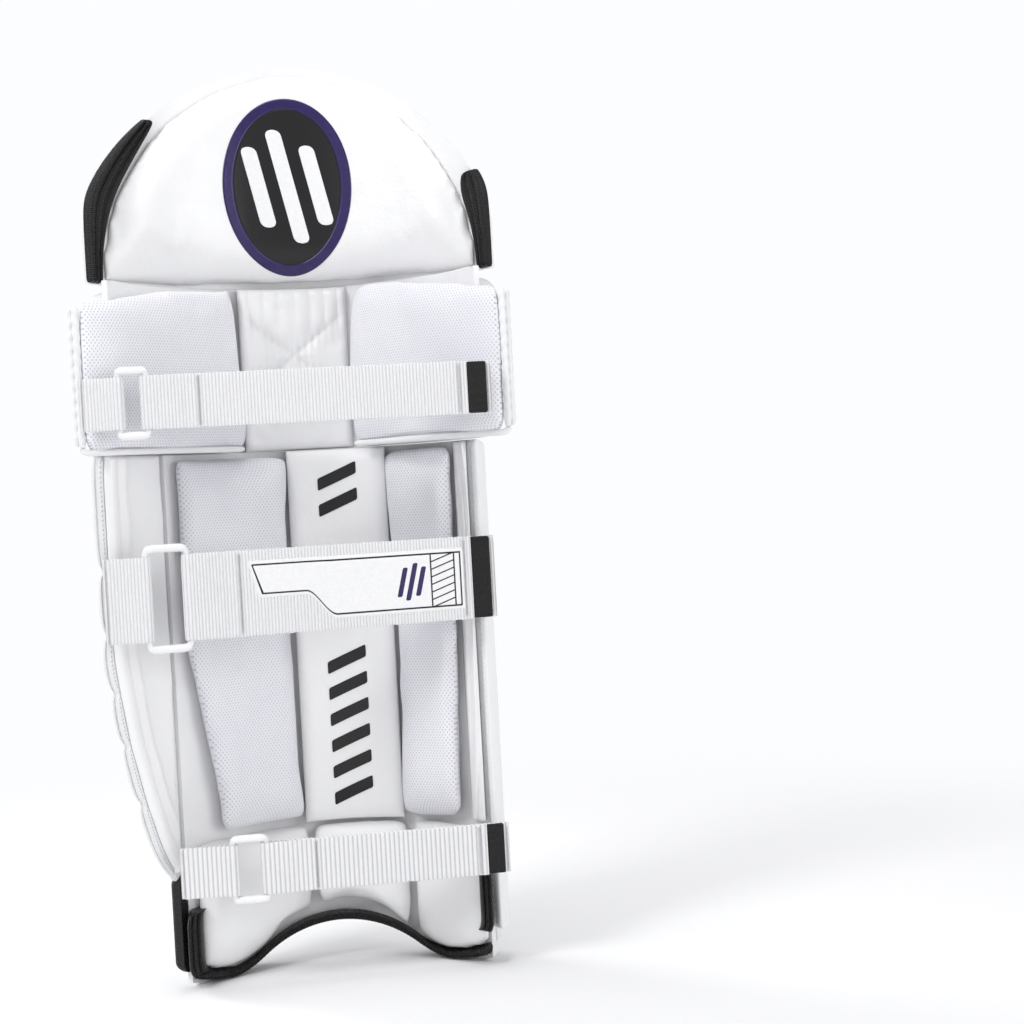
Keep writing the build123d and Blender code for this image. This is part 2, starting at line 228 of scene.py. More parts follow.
def through(points, count):
    """A smooth line through a few points: Catmull-Rom, evenly spaced along its length."""
    knots = np.asarray(points, dtype=float)
    ends = np.concatenate([[2 * knots[0] - knots[1]], knots, [2 * knots[-1] - knots[-2]]])
    t = np.linspace(0, 1, 24, endpoint=False)[:, None]
    runs = []
    for a, b, c, d in zip(ends, ends[1:], ends[2:], ends[3:]):
        square, cube = 2 * a - 5 * b + 4 * c - d, 3 * b - a - 3 * c + d
        runs.append(0.5 * (2 * b + (c - a) * t + square * t**2 + cube * t**3))
    line = np.concatenate(runs + [knots[-1:]])
    length = np.concatenate([[0], np.cumsum(np.linalg.norm(np.diff(line, axis=0), axis=1))])
    want = np.linspace(0, length[-1], count)
    return np.stack([np.interp(want, length, line[:, k]) for k in range(line.shape[1])], -1)


def on_arc(radius, angle, z, centre_x=0.0, back=0.0):
    """Points of the shield from radius, angle and height."""
    radius, angle, z = np.broadcast_arrays(radius, angle, z)
    return np.stack([centre_x + radius * np.sin(angle), AXIS_Y + back - radius * np.cos(angle), z], -1)


# %% [markdown]
# The finishes come next. Each is a small tree of nodes. The helper below sets plain numbers on a
# node's own sockets and wires up anything that is the output of another node.

# %% Node helper
def add(tree, kind, *values, **settings):
    """Add a node. Plain values go on its inputs in order, outputs are linked, None leaves one alone."""
    made = tree.nodes.new("ShaderNode" + kind)
    for key, value in settings.items():
        setattr(made, key, value)
    for socket, value in zip(made.inputs, values):
        if isinstance(value, bpy.types.NodeSocket):
            tree.links.new(value, socket)
        elif value is not None:
            socket.default_value = value
    return made


def new_finish(name, **constants):
    """A material with a Principled shader whose constant values sit on its own sockets."""
    material = bpy.data.materials.new(name)
    material.use_nodes = True
    tree = material.node_tree
    shader = tree.nodes["Principled BSDF"]
    for key, value in constants.items():
        shader.inputs[key.replace("_", " ")].default_value = value
    return material, tree, shader


def wire(tree, shader, **outputs):
    """Link outputs to the shader's inputs; a name holds _ in place of a space."""
    for key, output in outputs.items():
        tree.links.new(output, shader.inputs[key.replace("_", " ")])


def math_node(tree, operation, a, b=None, c=None):
    return add(tree, "Math", a, b, c, operation=operation).outputs[0]


def blend_colour(tree, factor, first, second):
    """Mix two colours by a factor."""
    mixed = tree.nodes.new("ShaderNodeMix")
    mixed.data_type = "RGBA"
    for socket, value in ((mixed.inputs[0], factor), (mixed.inputs[6], first), (mixed.inputs[7], second)):
        if isinstance(value, bpy.types.NodeSocket):
            tree.links.new(value, socket)
        else:
            socket.default_value = value
    return mixed.outputs[2]


def bump(tree, height, distance, below=None):
    """A bump of the given depth in metres, on top of another bump."""
    made = add(tree, "Bump", 1.0, distance)
    tree.links.new(height, made.inputs["Height"])
    if below is not None:
        tree.links.new(below, made.inputs["Normal"])
    return made.outputs[0]


def between(tree, value, low, high, first=0.0, second=1.0):
    """Map a value from one range to another with soft ends."""
    return add(tree, "MapRange", value, low, high, first, second, interpolation_type="SMOOTHSTEP").outputs[0]


# %% [markdown]
# The faces of the pad are a smooth polyurethane leather: a very fine pebble, slow creases where the
# stuffing pulls it, and a faint grey in the folds. On the ribs and rolls a row of stitch holes runs
# beside each seam; the seam attribute of the mesh says how far from the seam and along it a point is,
# so the holes follow the sewing on any shape.

# %% Leather finishes
WHITE = (0.80, 0.805, 0.815, 1)
SHADE = (0.70, 0.705, 0.72, 1)
STITCH_PITCH = 3.4 * MM
STITCH_INSET = 0.0030      # how far the row of holes stands from the seam


def leather(name, colour=WHITE, shade=SHADE, stitched=False, roughness=0.44):
    material, tree, shader = new_finish(name, Coat_Weight=0.06, Coat_Roughness=0.35)
    place = add(tree, "TexCoord").outputs["Object"]
    slow = add(tree, "TexNoise", place, None, 9.0, 4.0, 0.55).outputs["Fac"]
    crease = add(tree, "TexNoise", place, None, 55.0, 7.0, 0.6, None, None, 1.2).outputs["Fac"]
    pebble = add(tree, "TexVoronoi", place, None, 850.0).outputs["Distance"]
    fade = between(tree, slow, 0.35, 0.75, 0.0, 0.55)
    tint = blend_colour(tree, fade, colour, shade)
    normal = bump(tree, pebble, 0.00007)
    normal = bump(tree, crease, 0.0007, normal)
    if stitched:
        seam = add(tree, "SeparateXYZ", add(tree, "Attribute", attribute_name="seam").outputs["Vector"])
        # painted shade: near is 1 at a seam and fades out 2.2 mm from it; below, it greys the leather as shade
        # in the seam's groove
        near = between(tree, seam.outputs[0], 0.0, 0.0022, 1.0, 0.0)
        row = math_node(tree, "ABSOLUTE", math_node(tree, "SUBTRACT", seam.outputs[0], STITCH_INSET))
        in_row = between(tree, row, 0.0002, 0.0006, 1.0, 0.0)
        along = math_node(tree, "FRACT", math_node(tree, "DIVIDE", seam.outputs[1], STITCH_PITCH))
        off_middle = math_node(tree, "ABSOLUTE", math_node(tree, "SUBTRACT", along, 0.5))
        hole = between(tree, off_middle, 0.1, 0.22, 1.0, 0.0)
        hole = math_node(tree, "MULTIPLY", hole, in_row)
        # painted shade: close to each seam the leather is mixed up to 18 % towards a mid grey
        tint = blend_colour(tree, math_node(tree, "MULTIPLY", near, 0.18), tint, (0.45, 0.45, 0.47, 1))
        tint = blend_colour(tree, math_node(tree, "MULTIPLY", hole, 0.26), tint, (0.33, 0.33, 0.35, 1))
        normal = bump(tree, math_node(tree, "SUBTRACT", 1.0, hole), 0.0006, normal)
    rough = between(tree, crease, 0.3, 0.7, roughness - 0.06, roughness + 0.08)
    wire(tree, shader, Base_Color=tint, Normal=normal, Roughness=rough)
    return material


pu = leather("white_leather")
# painted shade: this finish has the stitch holes and also a painted shade along each seam
pu_stitched_seam_shade = leather("white_leather_stitched", stitched=True)
pu_lining = leather("white_lining", (0.83, 0.83, 0.835, 1), (0.75, 0.75, 0.76, 1), roughness=0.36)

# %% [markdown]
# The bolsters wear a white spacer mesh with small open cells in a diamond lattice. Two sets of bands
# at right angles are multiplied, which leaves a dot where they cross: the cell. The straps are ribbed
# webbing; their ribs are real ridges in the mesh, and painted shade greys the grooves on the same wave.

# %% Cloth finishes
BAND = math.pi / 10        # a wave texture's period at scale 1
CELL = 2.5 * MM            # from one open cell of the spacer mesh to the next


def spacer_mesh():
    material, tree, shader = new_finish("white_spacer_mesh", Sheen_Weight=0.25, Sheen_Roughness=0.5)
    place = add(tree, "TexCoord").outputs["Object"]
    x, y, z = add(tree, "SeparateXYZ", place).outputs
    around = math_node(tree, "ABSOLUTE", math_node(tree, "SUBTRACT", x, SHIN_X))
    around = math_node(tree, "MULTIPLY_ADD", y, 0.8, around)
    bands = []
    for lean in (0.62, -0.62):
        level = math_node(tree, "MULTIPLY_ADD", z, lean, math_node(tree, "MULTIPLY", around, 0.78))
        wave = math_node(tree, "SINE", math_node(tree, "MULTIPLY", level, 2 * math.pi / CELL))
        bands.append(between(tree, wave, -1.0, 1.0))
    cell = between(tree, math_node(tree, "MULTIPLY", *bands), 0.42, 0.72)
    slow = add(tree, "TexNoise", place, None, 14.0, 3.0).outputs["Fac"]
    fibre = add(tree, "TexNoise", place, None, 1500.0, 2.0).outputs["Fac"]
    thread = blend_colour(tree, between(tree, slow, 0.3, 0.7), (0.86, 0.86, 0.89, 1), (0.80, 0.80, 0.85, 1))
    colour = blend_colour(tree, math_node(tree, "MULTIPLY", cell, 0.55), thread, (0.46, 0.46, 0.54, 1))
    normal = bump(tree, math_node(tree, "SUBTRACT", 1.0, cell), 0.0007, bump(tree, fibre, 0.0001))
    wire(tree, shader, Base_Color=colour, Normal=normal)
    shader.inputs["Roughness"].default_value = 0.85
    return material


def ribbed(name, pitch, light, dark, groove=0.8, roughness=0.75, specular=0.5):
    """Webbing whose ribs lie across it, pitch apart, with fine threads running along."""
    sheen = 0.2 * light[0]
    material, tree, shader = new_finish(name, Sheen_Weight=sheen, Sheen_Roughness=0.45, Roughness=roughness)
    shader.inputs["Specular IOR Level"].default_value = specular
    cloth = add(tree, "UVMap", uv_map="cloth").outputs[0]
    rib = add(tree, "TexWave", cloth, BAND / pitch, 0.0, 0.0).outputs["Fac"]
    fine = add(tree, "TexWave", cloth, BAND / (0.9 * MM), 0.6, 1.0, 3.0, bands_direction="Y").outputs["Fac"]
    place = add(tree, "TexCoord").outputs["Object"]
    fibre = add(tree, "TexNoise", place, None, 900.0, 3.0).outputs["Fac"]
    # painted shade: the grooves between ribs, and faintly the gaps between fine threads, are mixed towards the
    # dark colour
    shade = math_node(tree, "MULTIPLY", between(tree, rib, 0.0, 0.55, 1.0, 0.0), groove)
    gap = math_node(tree, "MULTIPLY", between(tree, fine, 0.0, 0.5, 1.0, 0.0), 0.16)
    shade = math_node(tree, "MINIMUM", math_node(tree, "ADD", shade, gap), 1.0)
    normal = bump(tree, fibre, 0.00015, bump(tree, fine, 0.0003))
    normal = bump(tree, rib, 0.0003, normal)
    wire(tree, shader, Base_Color=blend_colour(tree, shade, light, dark), Normal=normal)
    return material


def plain_cloth(name, colour, dark, scale, depth, **constants):
    """Felt, tape or cotton: two tones of one noise and a bump of the same grain."""
    material, tree, shader = new_finish(name, **constants)
    place = add(tree, "TexCoord").outputs["Object"]
    grain = add(tree, "TexNoise", place, None, scale, 5.0, 0.65).outputs["Fac"]
    cell = add(tree, "TexVoronoi", place, None, scale * 0.8).outputs["Distance"]
    tint = blend_colour(tree, between(tree, grain, 0.35, 0.65), dark, colour)
    wire(tree, shader, Base_Color=tint, Normal=bump(tree, cell, depth))
    return material


mesh_cloth = spacer_mesh()
webbing_white = (0.93, 0.93, 0.94, 1)
# painted shade: the grey is the shade in the webbing's grooves, and the groove table gives its strength per
# strap
webbing_groove_shade = (0.60, 0.60, 0.63, 1)
PITCH = {"knee": 2.4 * MM, "calf": 2.4 * MM, "ankle": 3.4 * MM}
GROOVE_SHADE = {"knee": 0.65, "calf": 0.65, "ankle": 0.85}
webbing = {name: ribbed(f"webbing_{name}", PITCH[name], webbing_white, webbing_groove_shade, GROOVE_SHADE[name])
           for name in PITCH}


def tones(name, light, dark, scale, depth, roughness):
    """A plain cloth from two colours given without their alpha."""
    return plain_cloth(name, (*light, 1), (*dark, 1), scale, depth, Roughness=roughness)


# painted shade: the second, darker black is shade in the grooves of the ribbed binding
BINDING_BLACK, BINDING_GROOVE_SHADE = (0.008, 0.008, 0.009, 1), (0.002, 0.002, 0.002, 1)
black_binding = ribbed("black_binding", 1.6 * MM, BINDING_BLACK, BINDING_GROOVE_SHADE, 0.8, 0.42, 0.3)
hook_tape = tones("black_hook_tape", (0.009, 0.009, 0.01), (0.002, 0.002, 0.002), 1100.0, 0.0008, 0.8)
black_print = tones("black_print", (0.005, 0.005, 0.006), (0.003, 0.003, 0.004), 500.0, 0.00005, 0.34)
violet_print = tones("violet_print", (0.020, 0.008, 0.095), (0.014, 0.005, 0.07), 400.0, 0.00005, 0.32)
white_print = tones("white_print", (0.82, 0.82, 0.83), (0.78, 0.78, 0.79), 400.0, 0.00005, 0.4)
thread_white = tones("white_thread", (0.83, 0.83, 0.83), (0.66, 0.66, 0.67), 2500.0, 0.0001, 0.7)
pebbled = tones("pebbled_badge", (0.82, 0.82, 0.84), (0.76, 0.76, 0.78), 620.0, 0.0009, 0.42)


# %% Plastic and cane finishes
def moulded_plastic():
    material, tree, shader = new_finish("white_plastic", Coat_Weight=0.25, Coat_Roughness=0.12, IOR=1.5)
    place = add(tree, "TexCoord").outputs["Object"]
    flow = add(tree, "TexNoise", place, None, 120.0, 3.0).outputs["Fac"]
    colour = blend_colour(tree, flow, (0.84, 0.84, 0.85, 1), (0.80, 0.80, 0.815, 1))
    rough = between(tree, flow, 0.3, 0.7, 0.24, 0.34)
    wire(tree, shader, Base_Color=colour, Roughness=rough, Normal=bump(tree, flow, 0.00025))
    return material


def split_cane():
    material, tree, shader = new_finish("split_cane", Roughness=0.55)
    place = add(tree, "TexCoord").outputs["Object"]
    long = add(tree, "Mapping", place, None, None, (260.0, 260.0, 6.0)).outputs[0]
    fibre = add(tree, "TexNoise", long, None, 1.0, 5.0).outputs["Fac"]
    colour = blend_colour(tree, fibre, (0.50, 0.34, 0.15, 1), (0.72, 0.57, 0.33, 1))
    wire(tree, shader, Base_Color=colour, Normal=bump(tree, fibre, 0.0003))
    return material


plastic = moulded_plastic()
cane = split_cane()
for node, material in (("shin_board", pu_lining), ("knee_board", pu_lining), ("top_board", pu_lining),
                       ("shin_canes", cane), ("top_canes", cane)):
    kept = frame["nodes"][node]
    for place in kept.material_slots:
        place.material = material
print(len(bpy.data.materials), "finishes")

# %% [markdown]
# The camera stands behind the pad, on the leg side, because the straps and cushions are there. The pad
# stands left of the middle of the view and leans a little, so the camera first looks straight at the
# pad with that lean as its roll, and then turns until the pad's centre comes to the wanted place.

# %% Camera, floor and light
VIEW_ANGLE = math.radians(32.2)
VIEW_FROM = Vector((0.0, 1.35, 0.363))
VIEW_CENTRE = Vector((0.0, 0.0, 0.35))
VIEW_LEAN = math.radians(-3.2)
PLACE_IN_VIEW = (-0.403, -0.004)     # of half the picture, right and up from its middle


def set_camera():
    back = (VIEW_FROM - VIEW_CENTRE).normalized()
    right = Vector((0, 0, 1)).cross(back).normalized()
    straight = Matrix((right, back.cross(right), back)).transposed()
    lean = Matrix.Rotation(VIEW_LEAN, 3, back)
    half = math.tan(VIEW_ANGLE / 2)
    wanted = Vector((PLACE_IN_VIEW[0] * half, PLACE_IN_VIEW[1] * half, -1)).normalized()
    turn = wanted.rotation_difference(Vector((0, 0, -1))).to_matrix()
    data = bpy.data.cameras.new("camera")
    data.angle = VIEW_ANGLE
    camera = bpy.data.objects.new("camera", data)
    bpy.context.scene.collection.objects.link(camera)
    camera.matrix_world = Matrix.Translation(VIEW_FROM) @ (lean @ straight @ turn).to_4x4()
    bpy.context.scene.camera = camera


def add_light(name, place, target, size, power):
    data = bpy.data.lights.new(name, "AREA")
    data.size, data.energy = size, power
    light = bpy.data.objects.new(name, data)
    bpy.context.scene.collection.objects.link(light)
    light.location = place
    light.rotation_euler = (Vector(target) - Vector(place)).to_track_quat("-Z", "Y").to_euler()


def set_floor():
    material, tree, shader = new_finish("floor_paper", Roughness=0.9)
    place = add(tree, "TexCoord").outputs["Object"]
    cloud = add(tree, "TexNoise", place, None, 3.0, 3.0).outputs["Fac"]
    wire(tree, shader, Base_Color=blend_colour(tree, cloud, (0.86, 0.86, 0.87, 1), (0.89, 0.89, 0.895, 1)))
    away = add(tree, "VectorMath", place, operation="LENGTH").outputs["Value"]
    far = between(tree, away, 0.35, 1.15)
    glow = add(tree, "Emission", (0.98, 0.985, 1.0, 1), 1.0)
    mixed = add(tree, "MixShader", far, shader.outputs[0], glow.outputs[0])
    tree.links.new(mixed.outputs[0], tree.nodes["Material Output"].inputs["Surface"])
    half = 6.0
    rim = np.array([[-half, -half, 0], [half, -half, 0], [half, half, 0], [-half, half, 0]])
    mesh = bpy.data.meshes.new("floor")
    mesh.from_pydata(rim.tolist(), [], [[0, 1, 2, 3]])
    mesh.materials.append(material)
    floor = bpy.data.objects.new("floor", mesh)
    bpy.context.scene.collection.objects.link(floor)


def set_sky():
    world = bpy.data.worlds.new("white_room")
    world.use_nodes = True
    tree = world.node_tree
    backdrop, room = 1.0, 0.56     # how bright the white is to the camera, and to the pad
    seen = tree.nodes.new("ShaderNodeLightPath").outputs["Is Camera Ray"]
    sky = tree.nodes["Background"]
    sky.inputs["Color"].default_value = (0.98, 0.985, 1.0, 1)
    wire(tree, sky, Strength=add(tree, "MapRange", seen, 0.0, 1.0, room, backdrop).outputs[0])
    bpy.context.scene.world = world
    bpy.context.scene.view_settings.view_transform = "Standard"


set_camera()
set_floor()
set_sky()
add_light("key", (1.9, 1.5, 1.9), (0, 0, 0.4), 0.8, 32)
add_light("fill", (-2.0, 1.7, 0.8), (0, 0, 0.3), 1.4, 22)
add_light("top", (0.2, 0.3, 2.5), (0, 0, 0.3), 1.2, 17)
add_light("front", (2.0, -1.7, 1.5), (0, 0, 0.35), 0.9, 32)
print("camera at", [round(value, 3) for value in bpy.context.scene.camera.location])

# %% [markdown]
# A stuffed panel is a patch with four edges. Its cover leaves each seam steeply and levels out, so the
# height is a product of quarter circles counted from the edges. Soft creases and the small gathers
# that thread pulls in beside a seam are added to that, and the back of the patch lies on the board.

# %% Patches
def patch(left, right, low, high, rows, columns, ease=0.75):
    """A grid between a left and right edge (functions of the share going up, or numbers) and a low and
    high edge (functions of the across value, or numbers), with the distance from each of the edges."""
    share = eased(rows, ease)[:, None]
    left = left(share) if callable(left) else np.full_like(share, left)
    right = right(share) if callable(right) else np.full_like(share, right)
    across = left + (right - left) * eased(columns, ease)
    bottom = low(across) if callable(low) else np.full_like(across, low)
    top = high(across) if callable(high) else np.full_like(across, high)
    up = bottom + (top - bottom) * share
    return across, up, across - left, right - across, up - bottom, top - up


def gathers(distance, along, height=0.35 * MM, pitch=7 * MM, reach=5 * MM):
    """Ripples beside a seam: a cosine along it that fades away from it."""
    return height * np.cos(2 * np.pi * along / pitch) * np.exp(-distance / reach) * over_edge(distance, 2 * MM)


def foot(u, rise=31 * MM):
    """Height of the foot's outline at u from the middle: an arch over the boot, two flat lobes that
    stand on the floor, and corners that are cut back. The arch is a circle through its two ends."""
    half, outer = 72 * MM, 108 * MM      # from the middle to the arch's end, and to the cut corner
    radius = (half**2 + rise**2) / (2 * rise)
    arch = rise - radius + np.sqrt(np.maximum(radius**2 - u**2, 0))
    corner = np.interp(np.abs(u), [outer, 120 * MM, 126 * MM], [0, 9 * MM, 26 * MM])
    return np.where(np.abs(u) < half, np.maximum(arch, 0), corner)


def soft_foot(u, reach=12 * MM):
    """The foot's outline with its corners eased: its mean over a short stretch either side."""
    limit = 126 * MM
    return sum(foot(np.clip(u + shift, -limit, limit)) for shift in np.linspace(-reach, reach, 9)) / 9


def dome(x, half_width, height):
    """Height of the top hat's half ellipse above the knee at x."""
    return TOP_LOW + height * np.sqrt(np.maximum(1 - (x / half_width) ** 2, 0.0))


def shield_piece(name, grid, radius, board, centre_x=0.0, back=0.0):
    """Stand a stitched leather patch on the shield: its face at radius, its back on the board."""
    across, up, from_left, from_right, from_low, from_high = grid
    angle = across / BOARD_OUT
    face = on_arc(radius, angle, up, centre_x, back)
    under = on_arc(board + LAP, angle, up, centre_x, back)
    side = np.minimum(from_left, from_right)
    end = np.minimum(from_low, from_high)
    seam = np.stack([np.minimum(side, end), np.where(side < end, up, across)], -1)
    return make_slab(name, face, under, (across, up), pu_stitched_seam_shade, (name,), seam)


# %% [markdown]
# Seven ribs run down the shin. Each holds a cane and a strip of foam in a leather channel. The head of
# a rib is swollen, where the channel is closed under the knee rolls. Below it the cover is drawn
# tighter and shows a soft ridge a third of the way across. The three in the middle stop above the instep.

# %% Shin ribs
RIB_WIDTH = math.radians(16) * BOARD_OUT
SHIN_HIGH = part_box("shin_rib_1")[1][2]
RIB_REACH = 148 * MM       # radius at which a rib's foot follows the foot's outline
RIB_PROUD = 13.2 * MM      # how far a rib stands out at its ridge
HEAD_PROUD = 18.2 * MM     # and its swollen head
HEAD_FOOT = 349 * MM       # where the head begins


def shin_rib(number):
    left = -SHIN_HALF * BOARD_OUT + RIB_WIDTH * (number - 1)
    short = 3 <= number <= 5
    low = INSTEP_HIGH if short else (lambda across: soft_foot(RIB_REACH * np.sin(across / BOARD_OUT)))
    grid = patch(left, left + RIB_WIDTH, low, SHIN_HIGH, 150, 33, 0.8)
    across, up, from_left, from_right, from_low, from_high = grid
    share = from_left / RIB_WIDTH
    bow = (2 * share - 1) ** 2
    full = np.sqrt(np.maximum(1 - np.abs(2 * share - 1) ** 2.3, 0))
    ridge = 0.36 + 0.03 * crumple(0 * up, up, 70 * MM, 40 + number)
    left_face = 1 - 0.52 * (1 - share / ridge) ** 1.2
    right_face = 1 - 0.42 * (share - ridge) / (1 - ridge)
    roof = np.where(share < ridge, left_face, right_face)
    drawn = roof * over_edge(from_left, 8 * MM) * over_edge(from_right, 10 * MM)
    body = RIB_PROUD * drawn
    bulb_foot = HEAD_FOOT + 5 * MM * bow
    bulb = HEAD_PROUD * full * over_edge(up - bulb_foot, 11 * MM) * over_edge(from_high, 17 * MM)
    waist = 1 - 0.30 * np.exp(-((up - bulb_foot + 2 * MM) / (5 * MM)) ** 2)
    ends = over_edge(from_low, 17 * MM if short else 5 * MM) * over_edge(from_high, 6 * MM)
    crease = 1.0 * MM * crumple(across, 0.32 * up, 13 * MM, number) * full * ends
    side = np.minimum(from_left, from_right)
    radius = SEAM + np.maximum(body * waist * ends, bulb) + crease + gathers(side, up)
    return shield_piece(f"shin_rib_{number}", grid, radius, BOARD_OUT, SHIN_X)


for number in range(1, 8):
    shin_rib(number)

# %% [markdown]
# The top hat stands in front of the thigh. It has six ribs with the same swollen feet, a flat panel at
# each side and a piping along the rim. The rim is a half ellipse, so the ribs' upper ends follow it.

# %% Top hat ribs
TOP_RIB = math.radians(11.7) * BOARD_OUT       # measured on the same scale as the other patches
TOP_BOARD = 171 * MM
COVER_HALF, COVER_TALL = 150 * MM, 169 * MM    # the half ellipse that the covers keep to
PANEL_FROM, PANEL_TO = 35.1, 60.6              # degrees from the front that a side panel spans
TOP_PROUD, TOP_THINNER = 13.5 * MM, 5 * MM     # how far a rib stands out, and how much less at the rim
FOOT_PROUD, FOOT_TALL = 16.8 * MM, 38 * MM     # the swollen foot of a rib


def rim_height(half_width, height):
    """The dome as a function of the across value of a patch on the top hat."""
    return lambda across: dome(TOP_BOARD * np.sin(across / BOARD_OUT), half_width, height)


def top_rib(number):
    left = TOP_RIB * (number - 4)
    grid = patch(left, left + TOP_RIB, TOP_LOW + 0.3 * MM, rim_height(COVER_HALF, COVER_TALL), 90, 33, 0.8)
    across, up, from_left, from_right, from_low, from_high = grid
    share = from_left / TOP_RIB
    full = np.sqrt(np.maximum(1 - np.abs(2 * share - 1) ** 2.4, 0))
    ridge = 0.44 + 0.08 * crumple(0 * up, up, 60 * MM, 60 + number)
    roof = 1 - 0.34 * np.abs(share - ridge) / np.where(share < ridge, ridge, 1 - ridge)
    drawn = roof * over_edge(1.21 * from_left, 11 * MM) * over_edge(1.21 * from_right, 11 * MM)
    body = (TOP_PROUD - TOP_THINNER * step(up, TOP_LOW + 60 * MM, TOP_HIGH)) * drawn
    lobe_top = TOP_LOW + FOOT_TALL - 6 * MM * (2 * share - 1) ** 2
    lobe = FOOT_PROUD * full * over_edge(lobe_top - up, 12 * MM) * over_edge(from_low, 16 * MM)
    waist = 1 - 0.26 * np.exp(-((up - lobe_top - 2 * MM) / (5 * MM)) ** 2)
    ends = over_edge(from_high, 16 * MM) * over_edge(from_low, 6 * MM)
    crease = 0.9 * MM * crumple(across, 0.35 * up, 13 * MM, 20 + number) * full * ends
    floor_radius = TOP_BOARD + 1.6 * MM
    radius = floor_radius + np.maximum(body * waist * ends, lobe) + crease
    radius += gathers(np.minimum(from_left, from_right), up)
    return shield_piece(f"top_rib_{number}", grid, radius, TOP_BOARD, 0.0, TOP_BACK)


for number in range(1, 7):
    top_rib(number)


# %% Side panels and piping of the top hat
def top_panel(name, side):
    inner, outer = math.radians(PANEL_FROM) * BOARD_OUT, math.radians(PANEL_TO) * BOARD_OUT
    edges = (inner, outer) if side > 0 else (-outer, -inner)
    grid = patch(*edges, TOP_LOW + 0.3 * MM, rim_height(COVER_HALF, COVER_TALL), 80, 50, 0.8)
    across, up, from_left, from_right, from_low, from_high = grid
    near = np.minimum(np.minimum(from_left, from_right) * 1.21, np.minimum(from_low, from_high))
    outer_edge = from_right if side > 0 else from_left
    shoulder = over_edge(near, 6 * MM) * (1.6 * MM + 3.8 * MM * over_edge(outer_edge, 24 * MM))
    height = shoulder + 1.4 * MM * step(near, 4 * MM, 26 * MM)
    crease = 0.6 * MM * crumple(across, up, 24 * MM, 31) * over_edge(near, 20 * MM)
    radius = TOP_BOARD + 0.8 * MM + height + crease + gathers(near, across + up)
    return shield_piece(name, grid, radius, TOP_BOARD, 0.0, TOP_BACK)


def round_tube(name, path, radius, material, body="pad", nodes=(), sides=12, flat=1.0,
               facing=(0, 0, 1)):
    """A round or oval tube along a path: a circle in the plane square to it. facing is the direction
    that the circle's second axis leans to, and flat is how thick that axis is against the first."""
    path = np.asarray(path)
    along = np.gradient(path, axis=0)
    along /= np.linalg.norm(along, axis=1, keepdims=True)
    first = np.cross(along, np.broadcast_to(np.asarray(facing, float), along.shape))
    first /= np.linalg.norm(first, axis=1, keepdims=True)
    second = np.cross(first, along)
    radius = np.broadcast_to(radius, (len(path),))
    turn = np.linspace(0, 2 * np.pi, sides, endpoint=False)
    across = first[:, None] * np.cos(turn)[None, :, None] * radius[:, None, None]
    up = second[:, None] * np.sin(turn)[None, :, None] * radius[:, None, None] * flat
    points, faces = tube(path, across, up)
    length = np.concatenate([[0], np.cumsum(np.linalg.norm(np.diff(path, axis=0), axis=1))])
    length = np.concatenate([length[:1], length, length[-1:]])
    cloth = np.stack(np.broadcast_arrays(length[:, None], turn * radius.mean()), -1).reshape(-1, 2)
    return make_piece(name, points, faces, cloth, material, body, nodes)


def tapered(count, share=0.04):
    """1 along most of a line, falling as a quarter circle to nothing at its two ends."""
    t = np.linspace(0, 1, count)
    return np.maximum(over_edge(np.minimum(t, 1 - t), share), 0.05)


top_panel("top_panel_left", 1)
top_panel("top_panel_right", -1)
PIPING_START = 0.17        # radians above the level, where the piping begins and ends
rim_angle = np.linspace(PIPING_START, math.pi - PIPING_START, 160)
rim_x = 152 * MM * np.cos(rim_angle)
rim_z = TOP_LOW + 171 * MM * np.sin(rim_angle)
RIM_RADIUS = 174 * MM
rim_path = on_arc(RIM_RADIUS, np.arcsin(rim_x / RIM_RADIUS), rim_z, 0.0, TOP_BACK)
round_tube("top_piping", rim_path, 2.5 * MM * tapered(160), pu, nodes=("top_piping",))

# %% [markdown]
# Three rolls cross the knee. A roll is a leather tube packed tight and closed round at both ends. Five
# tufts of thread pull it back to the board, which leaves dimples with small folds running from them.

# %% Knee rolls
TUFTS = np.radians([-57, -26.5, 0, 28, 56])
HOLLOW, PINCH = 3.0 * MM, 4.5 * MM             # depth of a tuft's wide hollow and of its pinched middle
FOLD_UP, FOLD_ALONG = 1.8 * MM, 1.3 * MM       # depth of the two folds that run from it


